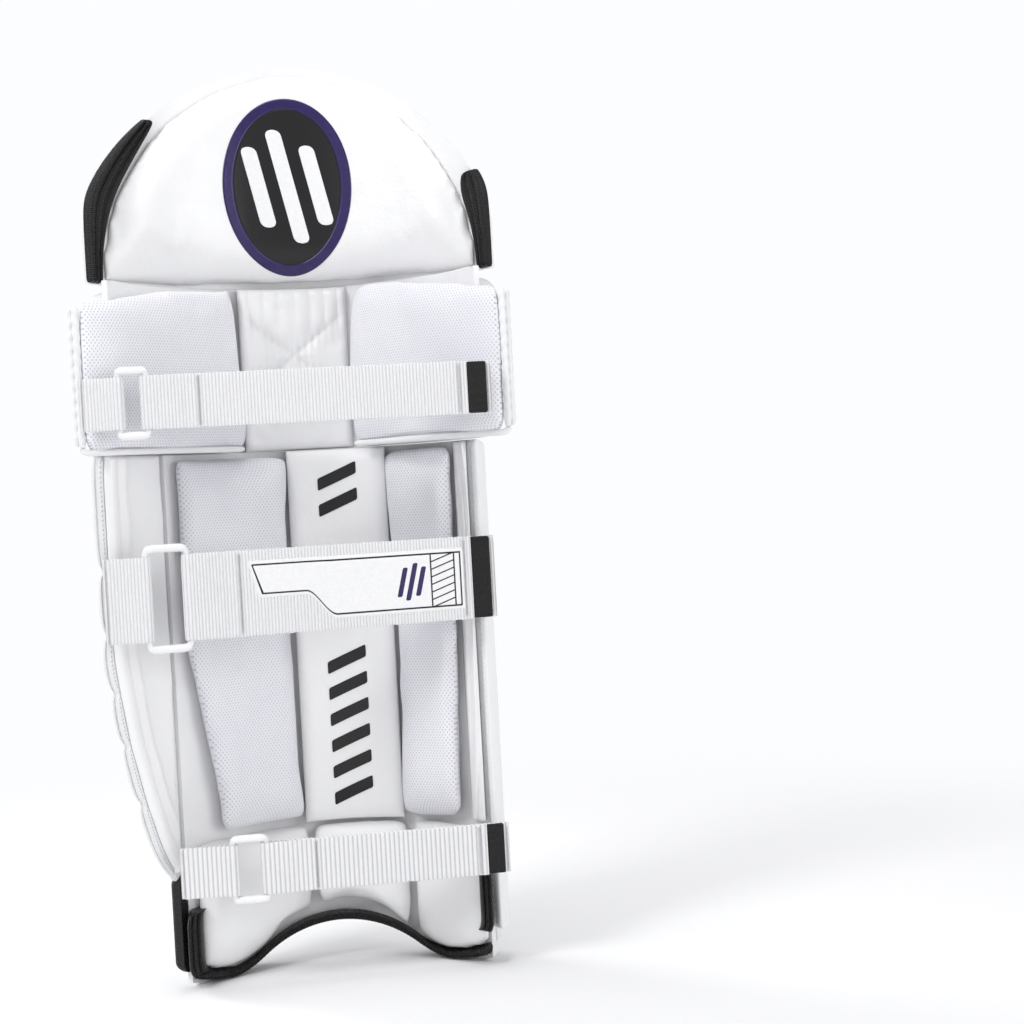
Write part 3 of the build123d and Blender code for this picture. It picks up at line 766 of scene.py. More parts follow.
def knee_roll(name, middle, half, sag, seed):
    """middle is the height of the roll's own line at the front and sag how far it drops at its ends."""
    reach = KNEE_HALF * BOARD_OUT
    line = lambda across: middle - sag * (across / reach) ** 2
    closing = lambda across: np.maximum(over_edge(reach - np.abs(across), 24 * MM), 0.35)
    tall = lambda across: half * (1 - 0.08 * (across / reach) ** 2) * closing(across)
    grid = patch(-reach, reach, lambda a: line(a) - tall(a), lambda a: line(a) + tall(a), 49, 300, 0.5)
    across, up, from_left, from_right, from_low, from_high = grid
    offset = (up - line(across)) / tall(across)
    round_over = np.sqrt(np.maximum(1 - np.abs(offset) ** 2.5, 0))
    closed = over_edge(np.minimum(from_left, from_right), 20 * MM)
    crown = 164 * MM - 2.5 * MM * (across / reach) ** 2
    valley = SEAM + 6 * MM * over_edge(np.minimum(from_low, from_high), 1.5 * MM)
    radius = valley + (crown - valley) * round_over * closed
    radius += 0.8 * MM * crumple(0.5 * across, up, 12 * MM, seed) * round_over
    for number, tuft in enumerate(TUFTS):
        away = across - tuft * BOARD_OUT
        rise = up - line(across)
        radius -= HOLLOW * np.exp(-(away / (12 * MM)) ** 2 - (rise / (10 * MM)) ** 2) * closed
        radius -= PINCH * np.exp(-(away / (3.6 * MM)) ** 2 - (rise / (3.2 * MM)) ** 2) * closed
        lean = 0.25 * math.sin(seed + 2.0 * number)
        fold = np.exp(-((away - lean * rise) / (2.6 * MM)) ** 2 - (rise / (15 * MM)) ** 2)
        radius -= FOLD_UP * fold
        crossing = np.exp(-((rise + 0.3 * away) / (2.4 * MM)) ** 2 - (away / (17 * MM)) ** 2)
        radius -= FOLD_ALONG * crossing
    radius += gathers(np.minimum(from_low, from_high), across, 0.3 * MM)
    return shield_piece(name, grid, radius, BOARD_OUT)


# which roll, the height of its line, half its own height, its sag in mm, and the seed of its creases
ROLLS = (("upper", 504.5, 22.2, 5, 3), ("middle", 461.5, 20, 3, 5), ("lower", 420.6, 20.6, 0.5, 9))
for which, middle, half, sag, seed in ROLLS:
    knee_roll(f"knee_roll_{which}", middle * MM, half * MM, sag * MM, seed)

# %% [markdown]
# The top hat is bent on a wider arc than the knee, so the two boards part towards the sides. A strip of
# lining sewn to both closes the crescent between them.

# %% Join between knee and top hat
def knee_join():
    """A thin flat crescent from the knee board's inner face to the top board's outer face."""
    half, rear_radius, front_radius = 131 * MM, 137.5 * MM, 171.5 * MM
    x = half * (2 * eased(120, 0.5) - 1)
    rear = AXIS_Y - np.sqrt(rear_radius**2 - x**2)
    front = AXIS_Y + TOP_BACK - np.sqrt(front_radius**2 - x**2)
    share = np.linspace(0, 1, 12)[:, None]
    y = rear + (front - rear - 0.5 * MM) * share
    x = np.broadcast_to(x, y.shape)
    sag = 0.3 * MM * crumple(x, y, 12 * MM, 19)
    upper, lower = TOP_LOW + 0.7 * MM + sag, TOP_LOW - 1.4 * MM + sag
    face, under = np.stack([x, y, upper], -1), np.stack([x, y, lower], -1)
    return make_slab("knee_join", face, under, (x, y), pu_lining)


knee_join()

# %% [markdown]
# Plates and marks are thin shapes with rounded corners: the badge on the instep, the label on the calf
# strap and the slanted bars on them. One grid serves for all of them. Its sides draw in towards the
# upper and lower edge by a quarter circle, and a slant moves each row sideways.

# %% Instep panel and its badge
def rounded_plate(width, height, corner, rows=24, columns=24, slant=0.0):
    """Across and up values of a rounded rectangle round the origin, and the distance from its edge."""
    up = height * (eased(rows, 0.8)[:, None] - 0.5)
    past = np.maximum(np.abs(up) - (height / 2 - corner), 0)
    half = width / 2 - corner + np.sqrt(np.maximum(corner**2 - past**2, 0))
    across = half * (2 * eased(columns, 0.8) - 1)
    edge = np.minimum(half - np.abs(across), height / 2 - np.abs(up))
    return across + slant * up, np.broadcast_to(up, across.shape), edge


def badge_part(name, at, width, height, corner, radii, material, slant=0.0, nodes=(), soft=0.8 * MM):
    """A plate on the shin's arc at so much across, from radii[0] to radii[1] with soft edges."""
    across, up, edge = rounded_plate(width, height, corner, slant=slant)
    angle = (at + across) / radii[0]
    lift = radii[0] + (radii[1] - radii[0]) * over_edge(edge, soft)
    face = on_arc(lift, angle, BADGE_MIDDLE + up, SHIN_X)
    under = on_arc(radii[0], angle, BADGE_MIDDLE + up, SHIN_X)
    return make_slab(name, face, under, (across, up), material, nodes)


def instep_panel():
    reach = math.radians(24) * BOARD_OUT
    low = lambda across: soft_foot(145 * MM * np.sin(across / BOARD_OUT))
    grid = patch(-reach, reach, low, INSTEP_HIGH - 0.3 * MM, 70, 80, 0.7)
    across, up, from_left, from_right, from_low, from_high = grid
    near = np.minimum(np.minimum(from_left, from_right), np.minimum(from_low, from_high))
    lift = 4.6 * MM * over_edge(near, 6 * MM) + 2.2 * MM * step(near, 3 * MM, 16 * MM)
    lift += 0.35 * MM * crumple(across, up, 20 * MM, 77) * over_edge(near, 12 * MM)
    radius = SEAM - 0.6 * MM + lift + gathers(near, across + up, 0.25 * MM)
    return shield_piece("instep_panel", grid, radius, BOARD_OUT, SHIN_X)


instep_panel()
BADGE_MIDDLE = (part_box("badge_plate")[0][2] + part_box("badge_plate")[1][2]) / 2
PLATE_RADII = (149.0 * MM, 152.2 * MM)
MARK_BASE = 151.6 * MM     # inside the plate, so that no mark floats on it
NEARLY_HALF = 0.499        # a corner radius of half the width rounds both ends fully
badge_part("badge_plate", 0, 60 * MM, 62 * MM, 5 * MM, PLATE_RADII, pebbled, 0.0, ("badge_plate",), 1.5 * MM)
OVALS = (("badge_oval_rim", 40 * MM, 52 * MM, 152.6 * MM, violet_print),
         ("badge_oval", 35 * MM, 47 * MM, 153.1 * MM, black_print))
for name, wide, tall, top, material in OVALS:
    badge_part(name, 0, wide, tall, NEARLY_HALF * wide, (MARK_BASE, top), material)
for number in range(3):
    at = (number - 1) * 9 * MM
    tall = (22, 30, 22)[number] * MM
    radii = (MARK_BASE, 153.6 * MM)
    badge_part(f"badge_bar_{number + 1}", at, 4.6 * MM, tall, 2.2 * MM, radii, white_print, 0.22)

# %% [markdown]
# The wing guards the outer side of the calf. It is a thin padded flap whose free edge is scalloped:
# slanting rows of stitching divide it into puffs, and the edge draws in wherever a row reaches it. The
# wing is flat, so a point is an origin plus so much across and so much outwards.

# %% Side wing
WING_ORIGIN = np.array([110.2 * MM, AXIS_Y - 81.05 * MM, 0.0])
WING_ACROSS = np.array([math.cos(SHIN_HALF), math.sin(SHIN_HALF), 0.0])
WING_OUT = np.array([math.sin(SHIN_HALF), -math.cos(SHIN_HALF), 0.0])
WING_ROWS = np.array([337, 291, 247, 206, 157]) * MM
WING_SLOPE = 0.27          # how much a row of stitches drops for each unit across
WING_START = 0.4 * MM      # the wing's first column, beside the last rib
WING_EDGE = -3.6 * MM      # how far out the edge of the wing's face lies from the wing's plane
WING_PROUD = 3.2 * MM      # how far the face stands above that edge
NOTCH = 3.4 * MM           # how far a row of stitches pulls the free edge in
LINING_START = 7 * MM
LINING_INSET = 12 * MM     # how much narrower the lining is than the wing


def on_wing(across, up, out):
    across, up, out = np.broadcast_arrays(across, up, out)
    place = WING_ORIGIN + across[..., None] * WING_ACROSS + out[..., None] * WING_OUT
    return place + up[..., None] * UPRIGHT


def wing_edge(up):
    """How wide the wing is at a height: full above the calf, narrowing in a curve towards the ankle."""
    heights = np.array([80, 84, 90, 112, 150, 195, 250, 300, 388, 402]) * MM
    widths = np.array([3, 10, 18, 31, 46, 60, 71, 72, 72, 70]) * MM
    shifts = np.linspace(-9 * MM, 9 * MM, 7)
    return sum(np.interp(up + shift, heights, widths) for shift in shifts) / len(shifts)


def to_rows(across, up):
    """Distance to the nearest slanting row of stitches."""
    level = up + WING_SLOPE * across
    return np.min([np.abs(level - row) for row in WING_ROWS], axis=0)


def side_wing():
    low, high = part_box("side_wing")[0][2], KNEE_LOW + 0.6 * MM
    up_share = np.linspace(0, 1, 220)[:, None]
    edge = wing_edge(low + (high - low) * up_share)
    notch = NOTCH * np.exp(-to_rows(edge, low + (high - low) * up_share) / (5 * MM))
    width = np.maximum(edge - notch, 2 * MM)
    up = np.broadcast_to(low + (high - low) * up_share, (220, 60))
    across = WING_START + width * eased(60, 0.7)
    rows = to_rows(across, up)
    side = np.minimum(across, WING_START + width - across)
    end = np.minimum(up - low, high - up)
    near = np.minimum(rows, np.minimum(side, end))
    puff = 2.2 * MM * over_edge(rows, 9 * MM) + 1.2 * MM * step(rows, 2 * MM, 20 * MM)
    rim = over_edge(np.minimum(side, end), 5 * MM)
    out = (WING_EDGE + (WING_PROUD + puff) * rim) + 0.5 * MM * crumple(across, up, 15 * MM, 52) * rim
    face = on_wing(across, up, out)
    under = on_wing(across, up, -6.4 * MM * rim - 3.5 * MM * (1 - rim))
    seam = np.stack([near, across + up], -1)
    return make_slab("side_wing", face, under, (across, up), pu_stitched_seam_shade, ("side_wing",), seam)


side_wing()

# %% [markdown]
# The wing's lining is a long hollow channel on the leg side. A thick rolled welt closes its outer edge
# and a thinner ridge stands beside it. Folds lie across the channel where the wing curls.

# %% Wing lining
def wing_lining():
    low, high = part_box("wing_lining")[0][2], KNEE_LOW + 0.4 * MM
    up = low + (high - low) * eased(160, 0.6)[:, None]
    width = wing_edge(up) - LINING_INSET
    across = LINING_START + np.maximum(width, 6 * MM) * eased(56, 0.5)
    up = np.broadcast_to(up, across.shape)
    from_edge = LINING_START + np.maximum(width, 6 * MM) - across
    near = np.minimum(np.minimum(across - LINING_START, from_edge), np.minimum(up - low, high - up))
    roll = 4.4 * MM * np.sqrt(np.maximum(1 - ((from_edge - 6 * MM) / (6 * MM)) ** 2, 0))
    ridge = 2.4 * MM * np.exp(-((from_edge - 19 * MM) / (4.2 * MM)) ** 2)
    inner = 3.0 * MM * step(from_edge, 28 * MM, 56 * MM)
    folds = 0.9 * MM * crumple(0.35 * across, up, 15 * MM, 91) * step(from_edge, 12 * MM, 22 * MM)
    lift = 0.6 * MM + np.maximum(roll, 1.4 * MM) + ridge + inner + folds
    wing_back = -7.0 * MM
    face = on_wing(across, up, wing_back - lift * over_edge(near, 4 * MM))
    under = on_wing(across, up, wing_back)
    seam = np.stack([np.minimum(np.abs(from_edge - 12.3 * MM), near), up], -1)
    return make_slab("wing_lining", face, under, (across, up), pu_lining, ("wing_lining",), seam)


wing_lining()

# %% [markdown]
# Edges are bound. A white double welt with a zigzag of thread runs down the plain side of the shin, a
# thin white piping follows the foot in front, and a black ribbed binding closes the foot and both
# sides of the top hat on the leg side. A band is a row of soft ridges carried along a line.

# %% Bands with ridges
def ridged(share, count, depth=0.45):
    """The height of a band from one side to the other: count rounded ridges under one soft shoulder."""
    ridges = np.abs(np.sin(np.pi * count * share)) ** 0.8
    return over_edge(np.minimum(share, 1 - share), 0.10) * (1 - depth + depth * ridges)


WELT_START, WELT_ANGLE = 56.06, 5.5     # degrees from the front, and how far round it goes


def shin_welt():
    low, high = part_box("shin_welt")[0][2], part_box("shin_welt")[1][2]
    share = np.linspace(0, 1, 41)
    up = low + (high - low) * eased(330, 0.4)[:, None]
    ends = over_edge(np.minimum(up - low, high - up), 6 * MM)
    angle = -np.radians(WELT_START + WELT_ANGLE * share) * np.ones_like(up)
    wave = 0.35 * MM * np.sin(2 * np.pi * up / (6.5 * MM)) * np.exp(-((share - 0.5) / 0.10) ** 2)
    outer = BOARD_IN + 0.5 * MM + (9.4 * MM * ridged(share, 2, 0.5) + wave) * ends
    inner = BOARD_IN + 0.4 * MM - 1.6 * MM * ridged(share, 2, 0.5) * ends
    up = np.broadcast_to(up, angle.shape)
    face, under = on_arc(outer, angle, up, SHIN_X), on_arc(inner, angle, up, SHIN_X)
    return make_slab("shin_welt", face, under, (share * 8 * MM, up), pu, ("shin_welt",))


def zigzag(name, path_at, low, high, swing, pitch):
    """A thread that swings from side to side up a line: path_at(up, sideways) gives its points."""
    thread = 0.45 * MM
    count = int((high - low) / pitch * 2)
    up = np.linspace(low, high, count)
    sideways = swing * np.where(np.arange(count) % 2, 1.0, -1.0)
    path = path_at(up, sideways)
    return round_tube(name, path, thread, thread_white, sides=5, facing=(1, 0, 0))


def top_binding(name, side, high):
    """A black ridged band between two half ellipses, narrowing to its upper end. Its outer side is the
    smaller of the ellipse and the board's end, by a soft minimum: minus the log of a sum of powers."""
    low = TOP_LOW + 0.4 * MM
    up = low + (high - low) * eased(150, 0.4)[:, None]
    above = np.maximum(up - TOP_LOW, 0)
    x_out = TOP_HALF_WIDTH * np.sqrt(1 - (above / TOP_TALL) ** 2)
    x_in = 138.6 * MM * np.sqrt(1 - (above / (165.6 * MM)) ** 2)
    middle_radius = 163.7 * MM
    steep, board_end = 42.0, math.radians(61.9)
    either = np.exp(-steep * np.arcsin(x_out / middle_radius)) + math.exp(-steep * board_end)
    board_edge = -np.log(either) / steep
    outer = board_edge + math.radians(0.6)
    inner = np.arcsin(x_in / middle_radius)
    inner = outer - (outer - inner) * (0.25 + 0.75 * over_edge(high - up, 0.35 * (high - TOP_LOW)))
    share = np.linspace(0, 1, 49)
    angle = side * (inner + (outer - inner) * share)
    ends = over_edge(np.minimum(high + 0.4 * MM - up, up - low), 4 * MM)
    face = 166.4 * MM - 5.2 * MM * ridged(share, 3, 0.42) * ends
    up = np.broadcast_to(up, angle.shape)
    wrap = 1.2 * MM * step(np.abs(angle), board_edge, board_edge + math.radians(0.3)) * ends
    face = on_arc(face, angle, up, 0.0, TOP_BACK)
    under = on_arc(166.5 * MM + wrap, angle, up, 0.0, TOP_BACK)
    return make_slab(name, face, under, (up, share * 15 * MM), black_binding, (name,))


shin_welt()
WELT_MIDDLE = -math.radians(WELT_START + WELT_ANGLE / 2)


def welt_thread(up, sideways):
    return on_arc(BOARD_IN - 0.9 * MM, WELT_MIDDLE + sideways / BOARD_IN, up, SHIN_X)


zigzag("shin_welt_thread", welt_thread, 34 * MM, 395 * MM, 1.9 * MM, 4.2 * MM)
top_binding("top_binding_left", 1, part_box("top_binding_left")[1][2])
top_binding("top_binding_right", -1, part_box("top_binding_right")[1][2])


def shin_edge_binding():
    """A black band on the shield's outer edge below the wing, beside the last rib."""
    low, high = 12 * MM, 86 * MM
    up = low + (high - low) * eased(120, 0.5)[:, None]
    share = np.linspace(0, 1, 33)
    ends = over_edge(np.minimum(up - low, high - up), 8 * MM)
    angle = np.radians(56.2 + 3.6 * share * (0.35 + 0.65 * ends)) * np.ones_like(up)
    outer = BOARD_IN + 0.6 * MM + 8.6 * MM * ridged(share, 2, 0.4) * ends
    up = np.broadcast_to(up, angle.shape)
    face, under = on_arc(outer, angle, up, SHIN_X), on_arc(BOARD_IN, angle, up, SHIN_X)
    return make_slab("shin_edge_binding", face, under, (up, share * 9 * MM), black_binding)


shin_edge_binding()

# %% Foot: white piping in front, black binding behind
FOOT_STEPS = 260
PIPING = 1.8 * MM          # radius of the piping
foot_u = np.linspace(-122 * MM, 121 * MM, FOOT_STEPS)
foot_z = soft_foot(foot_u)
piping_path = on_arc(146.5 * MM, np.arcsin(foot_u / (149 * MM)), foot_z + 1.9 * MM, SHIN_X)
round_tube("foot_piping", piping_path, PIPING * tapered(FOOT_STEPS, 0.02), pu)


def leg_arc(u, radius=136.7 * MM):
    """How far back the inner face of the shield lies at u from its middle."""
    return AXIS_Y - np.sqrt(np.maximum(radius**2 - u**2, (20 * MM) ** 2))


def rear_foot(u):
    """The foot's lower edge on the leg side: as in front, but drawn up at its two outer corners."""
    return soft_foot(u) + 5 * MM * step(np.abs(u), 78 * MM, 114 * MM)


def foot_binding():
    """A band folded over the foot's edge: an oval carried along the outline, deeper than it is high."""
    u = np.linspace(-113 * MM, 113 * MM, 300)
    low = rear_foot(u)
    turn = np.linspace(0, 2 * np.pi, 28, endpoint=False)
    ends = tapered(300, 0.012)[:, None]
    deep = 9.5 * MM * np.sign(np.cos(turn)) * np.abs(np.cos(turn)) ** 0.5
    tall = 2.7 * MM * np.sign(np.sin(turn)) * np.abs(np.sin(turn)) ** 0.5
    weave = 1 + 0.05 * np.cos(2 * np.pi * u / (2.4 * MM))[:, None]
    path = np.stack([SHIN_X + u, leg_arc(u) + 9.5 * MM, low + 2.9 * MM], -1)
    zero = np.zeros((300, 28))
    across = np.stack([zero, deep * ends * weave, zero], -1)
    up = np.stack([zero, zero, tall * ends * weave], -1)
    points, faces = tube(path, across, up)
    length = np.concatenate([u[:1], u, u[-1:]])
    cloth = np.stack(np.broadcast_arrays(length[:, None], turn * 3 * MM), -1).reshape(-1, 2)
    return make_piece("foot_binding", points, faces, cloth, black_binding, "pad")


def ankle_side_binding(name, side, low, high, width):
    """A black ridged strip over the lower side edge of the ankle cushion."""
    up = low + (high - low) * eased(90, 0.5)[:, None]
    share = np.linspace(0, 1, 41)
    outer = 114.5 * MM - 3 * MM * (1 - over_edge(np.minimum(up - low, high - up), 12 * MM))
    u = outer - width * (1 - share)
    bow = over_edge(np.minimum(up - low, high - up), 3 * MM)
    up = np.broadcast_to(up, u.shape)
    back = leg_arc(u)
    shoulder = 0.6 + 0.4 * over_edge(1 - share, 0.25)
    face = back + (17 * MM + 5.6 * MM * ridged(share, 3, 0.4) * bow) * shoulder
    x = SHIN_X + side * u
    face, under = np.stack([x, face, up], -1), np.stack([x, back + 0.4 * MM, up], -1)
    return make_slab(name, face, under, (up, share * width), black_binding)


foot_binding()
ankle_side_binding("ankle_binding_left", 1, 11 * MM, 58 * MM, 11 * MM)
ankle_side_binding("ankle_binding_right", -1, 26 * MM, 78 * MM, 9 * MM)

# %% [markdown]
# The leg side is all cushions. The thick ones are swollen by a short cloth simulation: the closed shape
# is remeshed to even cells, given pressure from inside without gravity, and stopped after twenty frames.
# How far a point may move is capped, so a cushion never leaves its own room.

# %% Swelling a cushion
def take_modifiers(piece):
    """Replace a piece's mesh by what its modifiers make of it, and remove them."""
    graph = bpy.context.evaluated_depsgraph_get()
    shown = piece.evaluated_get(graph)
    made = bpy.data.meshes.new_from_object(shown, preserve_all_data_layers=True, depsgraph=graph)
    material = piece.data.materials[0]
    piece.modifiers.clear()
    piece.data = made
    made.materials.clear()
    made.materials.append(material)
    made.polygons.foreach_set("use_smooth", np.ones(len(made.polygons), dtype=bool))


def points_of(piece):
    points = np.empty(len(piece.data.vertices) * 3)
    piece.data.vertices.foreach_get("co", points)
    return points.reshape(-1, 3)


def normals_of(piece):
    normals = np.empty(len(piece.data.vertices) * 3)
    piece.data.vertices.foreach_get("normal", normals)
    return normals.reshape(-1, 3)


def put_points(piece, points):
    piece.data.vertices.foreach_set("co", points.ravel())
    piece.data.update()


def relaxed(piece, rounds):
    """Move every point to the mean of its neighbours a few times, which takes the steps out."""
    edges = np.empty(len(piece.data.edges) * 2, dtype=np.int64)
    piece.data.edges.foreach_get("vertices", edges)
    edges = edges.reshape(-1, 2)
    points = points_of(piece)
    count = np.bincount(edges.ravel(), minlength=len(points))[:, None]
    for _ in range(rounds):
        total = np.zeros_like(points)
        np.add.at(total, edges[:, 0], points[edges[:, 1]])
        np.add.at(total, edges[:, 1], points[edges[:, 0]])
        points = 0.4 * points + 0.6 * total / np.maximum(count, 1)
    put_points(piece, points)


def creased(piece, depth, size, seed, across=1.0, along=1.0):
    """Move every point along its normal by soft noise; across and along stretch the creases."""
    place = points_of(piece)
    fold = depth * crumple(across * place[:, 0], along * place[:, 2], size, seed)
    put_points(piece, place + normals_of(piece) * fold[:, None])


def swell(piece, cap, pressure=4.0, cell=5 * MM):
    """Remesh, swell under pressure for twenty frames, hold each point within cap of where it began,
    and subdivide once."""
    remesh = piece.modifiers.new("remesh", "REMESH")
    remesh.mode = "VOXEL"
    remesh.voxel_size = cell
    take_modifiers(piece)
    relaxed(piece, 2)
    began = points_of(piece)
    frames = 20
    cloth = piece.modifiers.new("cloth", "CLOTH")
    cloth.settings.use_pressure = True
    cloth.settings.uniform_pressure_force = pressure
    cloth.settings.effector_weights.gravity = 0
    for frame_number in range(1, frames + 1):
        bpy.context.scene.frame_set(frame_number)
    take_modifiers(piece)
    bpy.context.scene.frame_set(1)
    moved = points_of(piece) - began
    length = np.linalg.norm(moved, axis=1, keepdims=True)
    put_points(piece, began + moved * np.minimum(1, cap / np.maximum(length, 1e-9)))
    relaxed(piece, 1)
    print(piece.name, "swelled by up to", round(float(min(length.max(), cap)) * 1000, 1), "mm")
    finer = piece.modifiers.new("finer", "SUBSURF")
    finer.levels = finer.render_levels = 1
    take_modifiers(piece)


def leg_patch(name, grid, thickness, material, soft, folds=0.0, seed=1, hollow=0.0, draw=None,
              base_share=0.3):
    """A cushion on the inner face of the shield: thickness towards the leg, soft how wide its rounded
    shoulders are, folds and hollow how deep its creases and its sunken middle are."""
    u, up, from_left, from_right, from_low, from_high = grid
    near_side = np.minimum(from_left, from_right)
    near_end = np.minimum(from_low, from_high)
    shoulder = over_edge(near_side, soft) * over_edge(near_end, soft)
    crown = thickness * (base_share + (1 - base_share) * shoulder) - hollow * step(near_side, 0.0, 40 * MM)
    crown += folds * crumple(u, 0.5 * up, 16 * MM, seed) * shoulder
    if draw is not None:
        crown += draw(u, up) * shoulder
    base = leg_arc(u)
    x = SHIN_X + u
    face, under = np.stack([x, base + crown, up], -1), np.stack([x, base + 0.4 * MM, up], -1)
    near = np.minimum(near_side, near_end)
    seam = np.stack([near, np.where(near_side < near_end, up, u)], -1)
    return make_slab(name, face, under, (u, up), material, (name,), seam)


# %% [markdown]
# The thigh cushion fills the top hat. It is one smooth leather pillow with a stitched edge, and a plain
# mark of slanted bars in an oval ring is printed on it, laid on the swollen cover by projection.

# %% Thigh cushion
THIGH_HALF, THIGH_TALL = 137 * MM, 169 * MM
THIGH_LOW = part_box("thigh_cushion")[0][2]
THIGH_RIM, THIGH_SWELL = 7.5 * MM, 13 * MM     # thickness at the stitched edge, and how much more inside


def thigh_cushion():
    x = (THIGH_HALF - 2 * MM) * (2 * eased(90, 0.8) - 1)
    rim = np.sqrt(1 - (x / THIGH_HALF) ** 2)
    share = eased(80, 0.7)[:, None]
    up = THIGH_LOW + 1 * MM + np.maximum(THIGH_TALL * rim, 16 * MM) * share
    x = np.broadcast_to(x, up.shape)
    inside = 1 - np.sqrt((x / THIGH_HALF) ** 2 + ((up - THIGH_LOW) / THIGH_TALL) ** 2)
    near = np.minimum(inside * 150 * MM, up - THIGH_LOW)
    base = AXIS_Y + TOP_BACK - np.sqrt((166.7 * MM) ** 2 - x**2)
    crown = THIGH_RIM + THIGH_SWELL * over_edge(near, 26 * MM)
    face, under = np.stack([x, base + crown, up], -1), np.stack([x, base + 1.0 * MM, up], -1)
    return make_slab("thigh_cushion", face, under, (x, up), pu_lining, ("thigh_cushion",))


thigh = thigh_cushion()
swell(thigh, 4 * MM)
creased(thigh, 0.5 * MM, 34 * MM, 8)


def lay_on(piece, target, gap=0.4 * MM):
    """Project a flat piece that stands behind the pad forwards onto a cushion."""
    wrap = piece.modifiers.new("wrap", "SHRINKWRAP")
    wrap.wrap_method = "PROJECT"
    wrap.use_project_y = True
    wrap.use_negative_direction, wrap.use_positive_direction = True, False
    wrap.offset = gap
    wrap.target = target
    take_modifiers(piece)


def flat_grid(name, across, up, material, slot, target, gap=0.4 * MM, ring=False):
    """An open grid behind the pad, laid on a target and given a little thickness."""
    points = np.stack([across, np.full_like(across, 150 * MM), up], -1).reshape(-1, 3)
    faces = grid_quads(*across.shape, ring=ring)
    a, b, c = points[faces[0, 0]], points[faces[0, 1]], points[faces[0, 2]]
    if np.cross(b - a, c - b)[1] < 0:
        faces = faces[:, ::-1]
    mesh = bpy.data.meshes.new(name)
    mesh.from_pydata(points.tolist(), [], faces.tolist())
    mesh.materials.append(material)
    piece = bpy.data.objects.new(name, mesh)
    bpy.context.scene.collection.objects.link(piece)
    lay_on(piece, target, gap)
    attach(piece, "pad")
    thick = piece.modifiers.new("thick", "SOLIDIFY")
    thick.thickness, thick.offset = 0.7 * MM, -1.0
    print(name, len(points), "points")
    return piece


# %% Mark on the thigh cushion
MARK_MIDDLE = THIGH_LOW + 76 * MM


def mark_ring():
    """An oval ring: an angle round it and a share across its width."""
    turn = np.linspace(0, 2 * np.pi, 120, endpoint=False)
    share = np.linspace(0, 1, 7)[:, None]
    wide, tall = 41 * MM + 8 * MM * share, 60 * MM + 8 * MM * share
    return wide * np.cos(turn), MARK_MIDDLE + tall * np.sin(turn)


def mark_disc():
    """An oval disc: rings from its middle outwards."""
    turn = np.linspace(0, 2 * np.pi, 120, endpoint=False)
    share = np.linspace(0.004, 1, 24)[:, None]
    return 42 * MM * share * np.cos(turn), MARK_MIDDLE + 61 * MM * share * np.sin(turn)


flat_grid("thigh_mark_ring", *mark_ring(), violet_print, "pu", thigh, ring=True)
flat_grid("thigh_mark_disc", *mark_disc(), black_print, "pu", thigh, gap=0.3 * MM, ring=True)
for number in range(3):
    length = (62, 88, 62)[number] * MM
    across, up, _ = rounded_plate(12 * MM, length, 5 * MM, 30, 8, 0.22)
    across = across + (number - 1) * 22 * MM
    flat_grid(f"thigh_mark_bar_{number + 1}", across, up + MARK_MIDDLE, white_print, "pu", thigh, 0.9 * MM)

# %% [markdown]
# The bolsters are thick blocks of foam in spacer mesh. They hold the knee and the calf in the middle of
# the pad. They swell in the simulation too, and a welt follows the edge where the side panel meets
# the face of the knee bolsters.

# %% Knee bolsters
def knee_face(x, x_in, x_out):
    """How far back a knee bolster's face stands at x from the middle."""
    share = np.clip((x_out - x) / (x_out - x_in), 0, 1)
    return AXIS_Y - 4.5 * MM - 95 * MM * share**1.4


def knee_bolster(name, side):
    """The plan goes from the inner edge, x_in from the middle, to the outer end of the knee board. Its
    face runs from near the board in the middle to a broad level top, and its upper edge falls
    towards the outside."""
    low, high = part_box(name)[0][2] - 1.5 * MM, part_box(name)[1][2] - 0.6 * MM
    x_in, x_out = ((43.5 * MM, 153 * MM) if side > 0 else (40.5 * MM, 149 * MM))
    share = eased(60, 0.6)
    x = x_in + (x_out - x_in) * share
    board = AXIS_Y - np.sqrt(np.maximum((136.4 * MM) ** 2 - np.minimum(x, 132 * MM) ** 2, 0))
    board = np.where(x > 132 * MM, np.maximum(board, AXIS_Y - 32 * MM), board) + 0.6 * MM
    face = knee_face(x, x_in, x_out)
    top = high - 1.0 * MM - 15 * MM * share**1.4
    up = low + (top - low) * eased(60, 0.6)[:, None]
    drawn = 6 * MM * (1 - share) * ((up - low) / (high - low)) ** 1.5
    x = x + drawn
    face = face - 9 * MM * (1 - over_edge(np.minimum(up - low, top - up), 14 * MM))
    face = np.maximum(face, board + 5 * MM)
    up, board, x = np.broadcast_arrays(up, board, side * x)
    face, under = np.stack([x, face, up], -1), np.stack([x, board, up], -1)
    return make_slab(name, face, under, (x, up), mesh_cloth, (name,))


for name, side in (("knee_bolster_left", 1), ("knee_bolster_right", -1)):
    bolster = knee_bolster(name, side)
    swell(bolster, 2.2 * MM)
    creased(bolster, 0.9 * MM, 17 * MM, 14 + side, along=0.6)


def bolster_piping(name, side, x_in, x_out):
    """A white piping along the lower edge of a knee bolster, turning up at its outer end."""
    x = np.concatenate([np.linspace(x_in, x_out, 60), np.full(14, x_out + 0.8 * MM)])
    up = np.concatenate([np.full(60, 402.2 * MM), np.linspace(404 * MM, 428 * MM, 14)])
    back = knee_face(np.minimum(x, x_out), x_in, x_out) - 6.5 * MM
    line = through(np.stack([side * x, back, up], -1)[::3], 130)
    return round_tube(name, line, 2.3 * MM * tapered(130), pu)


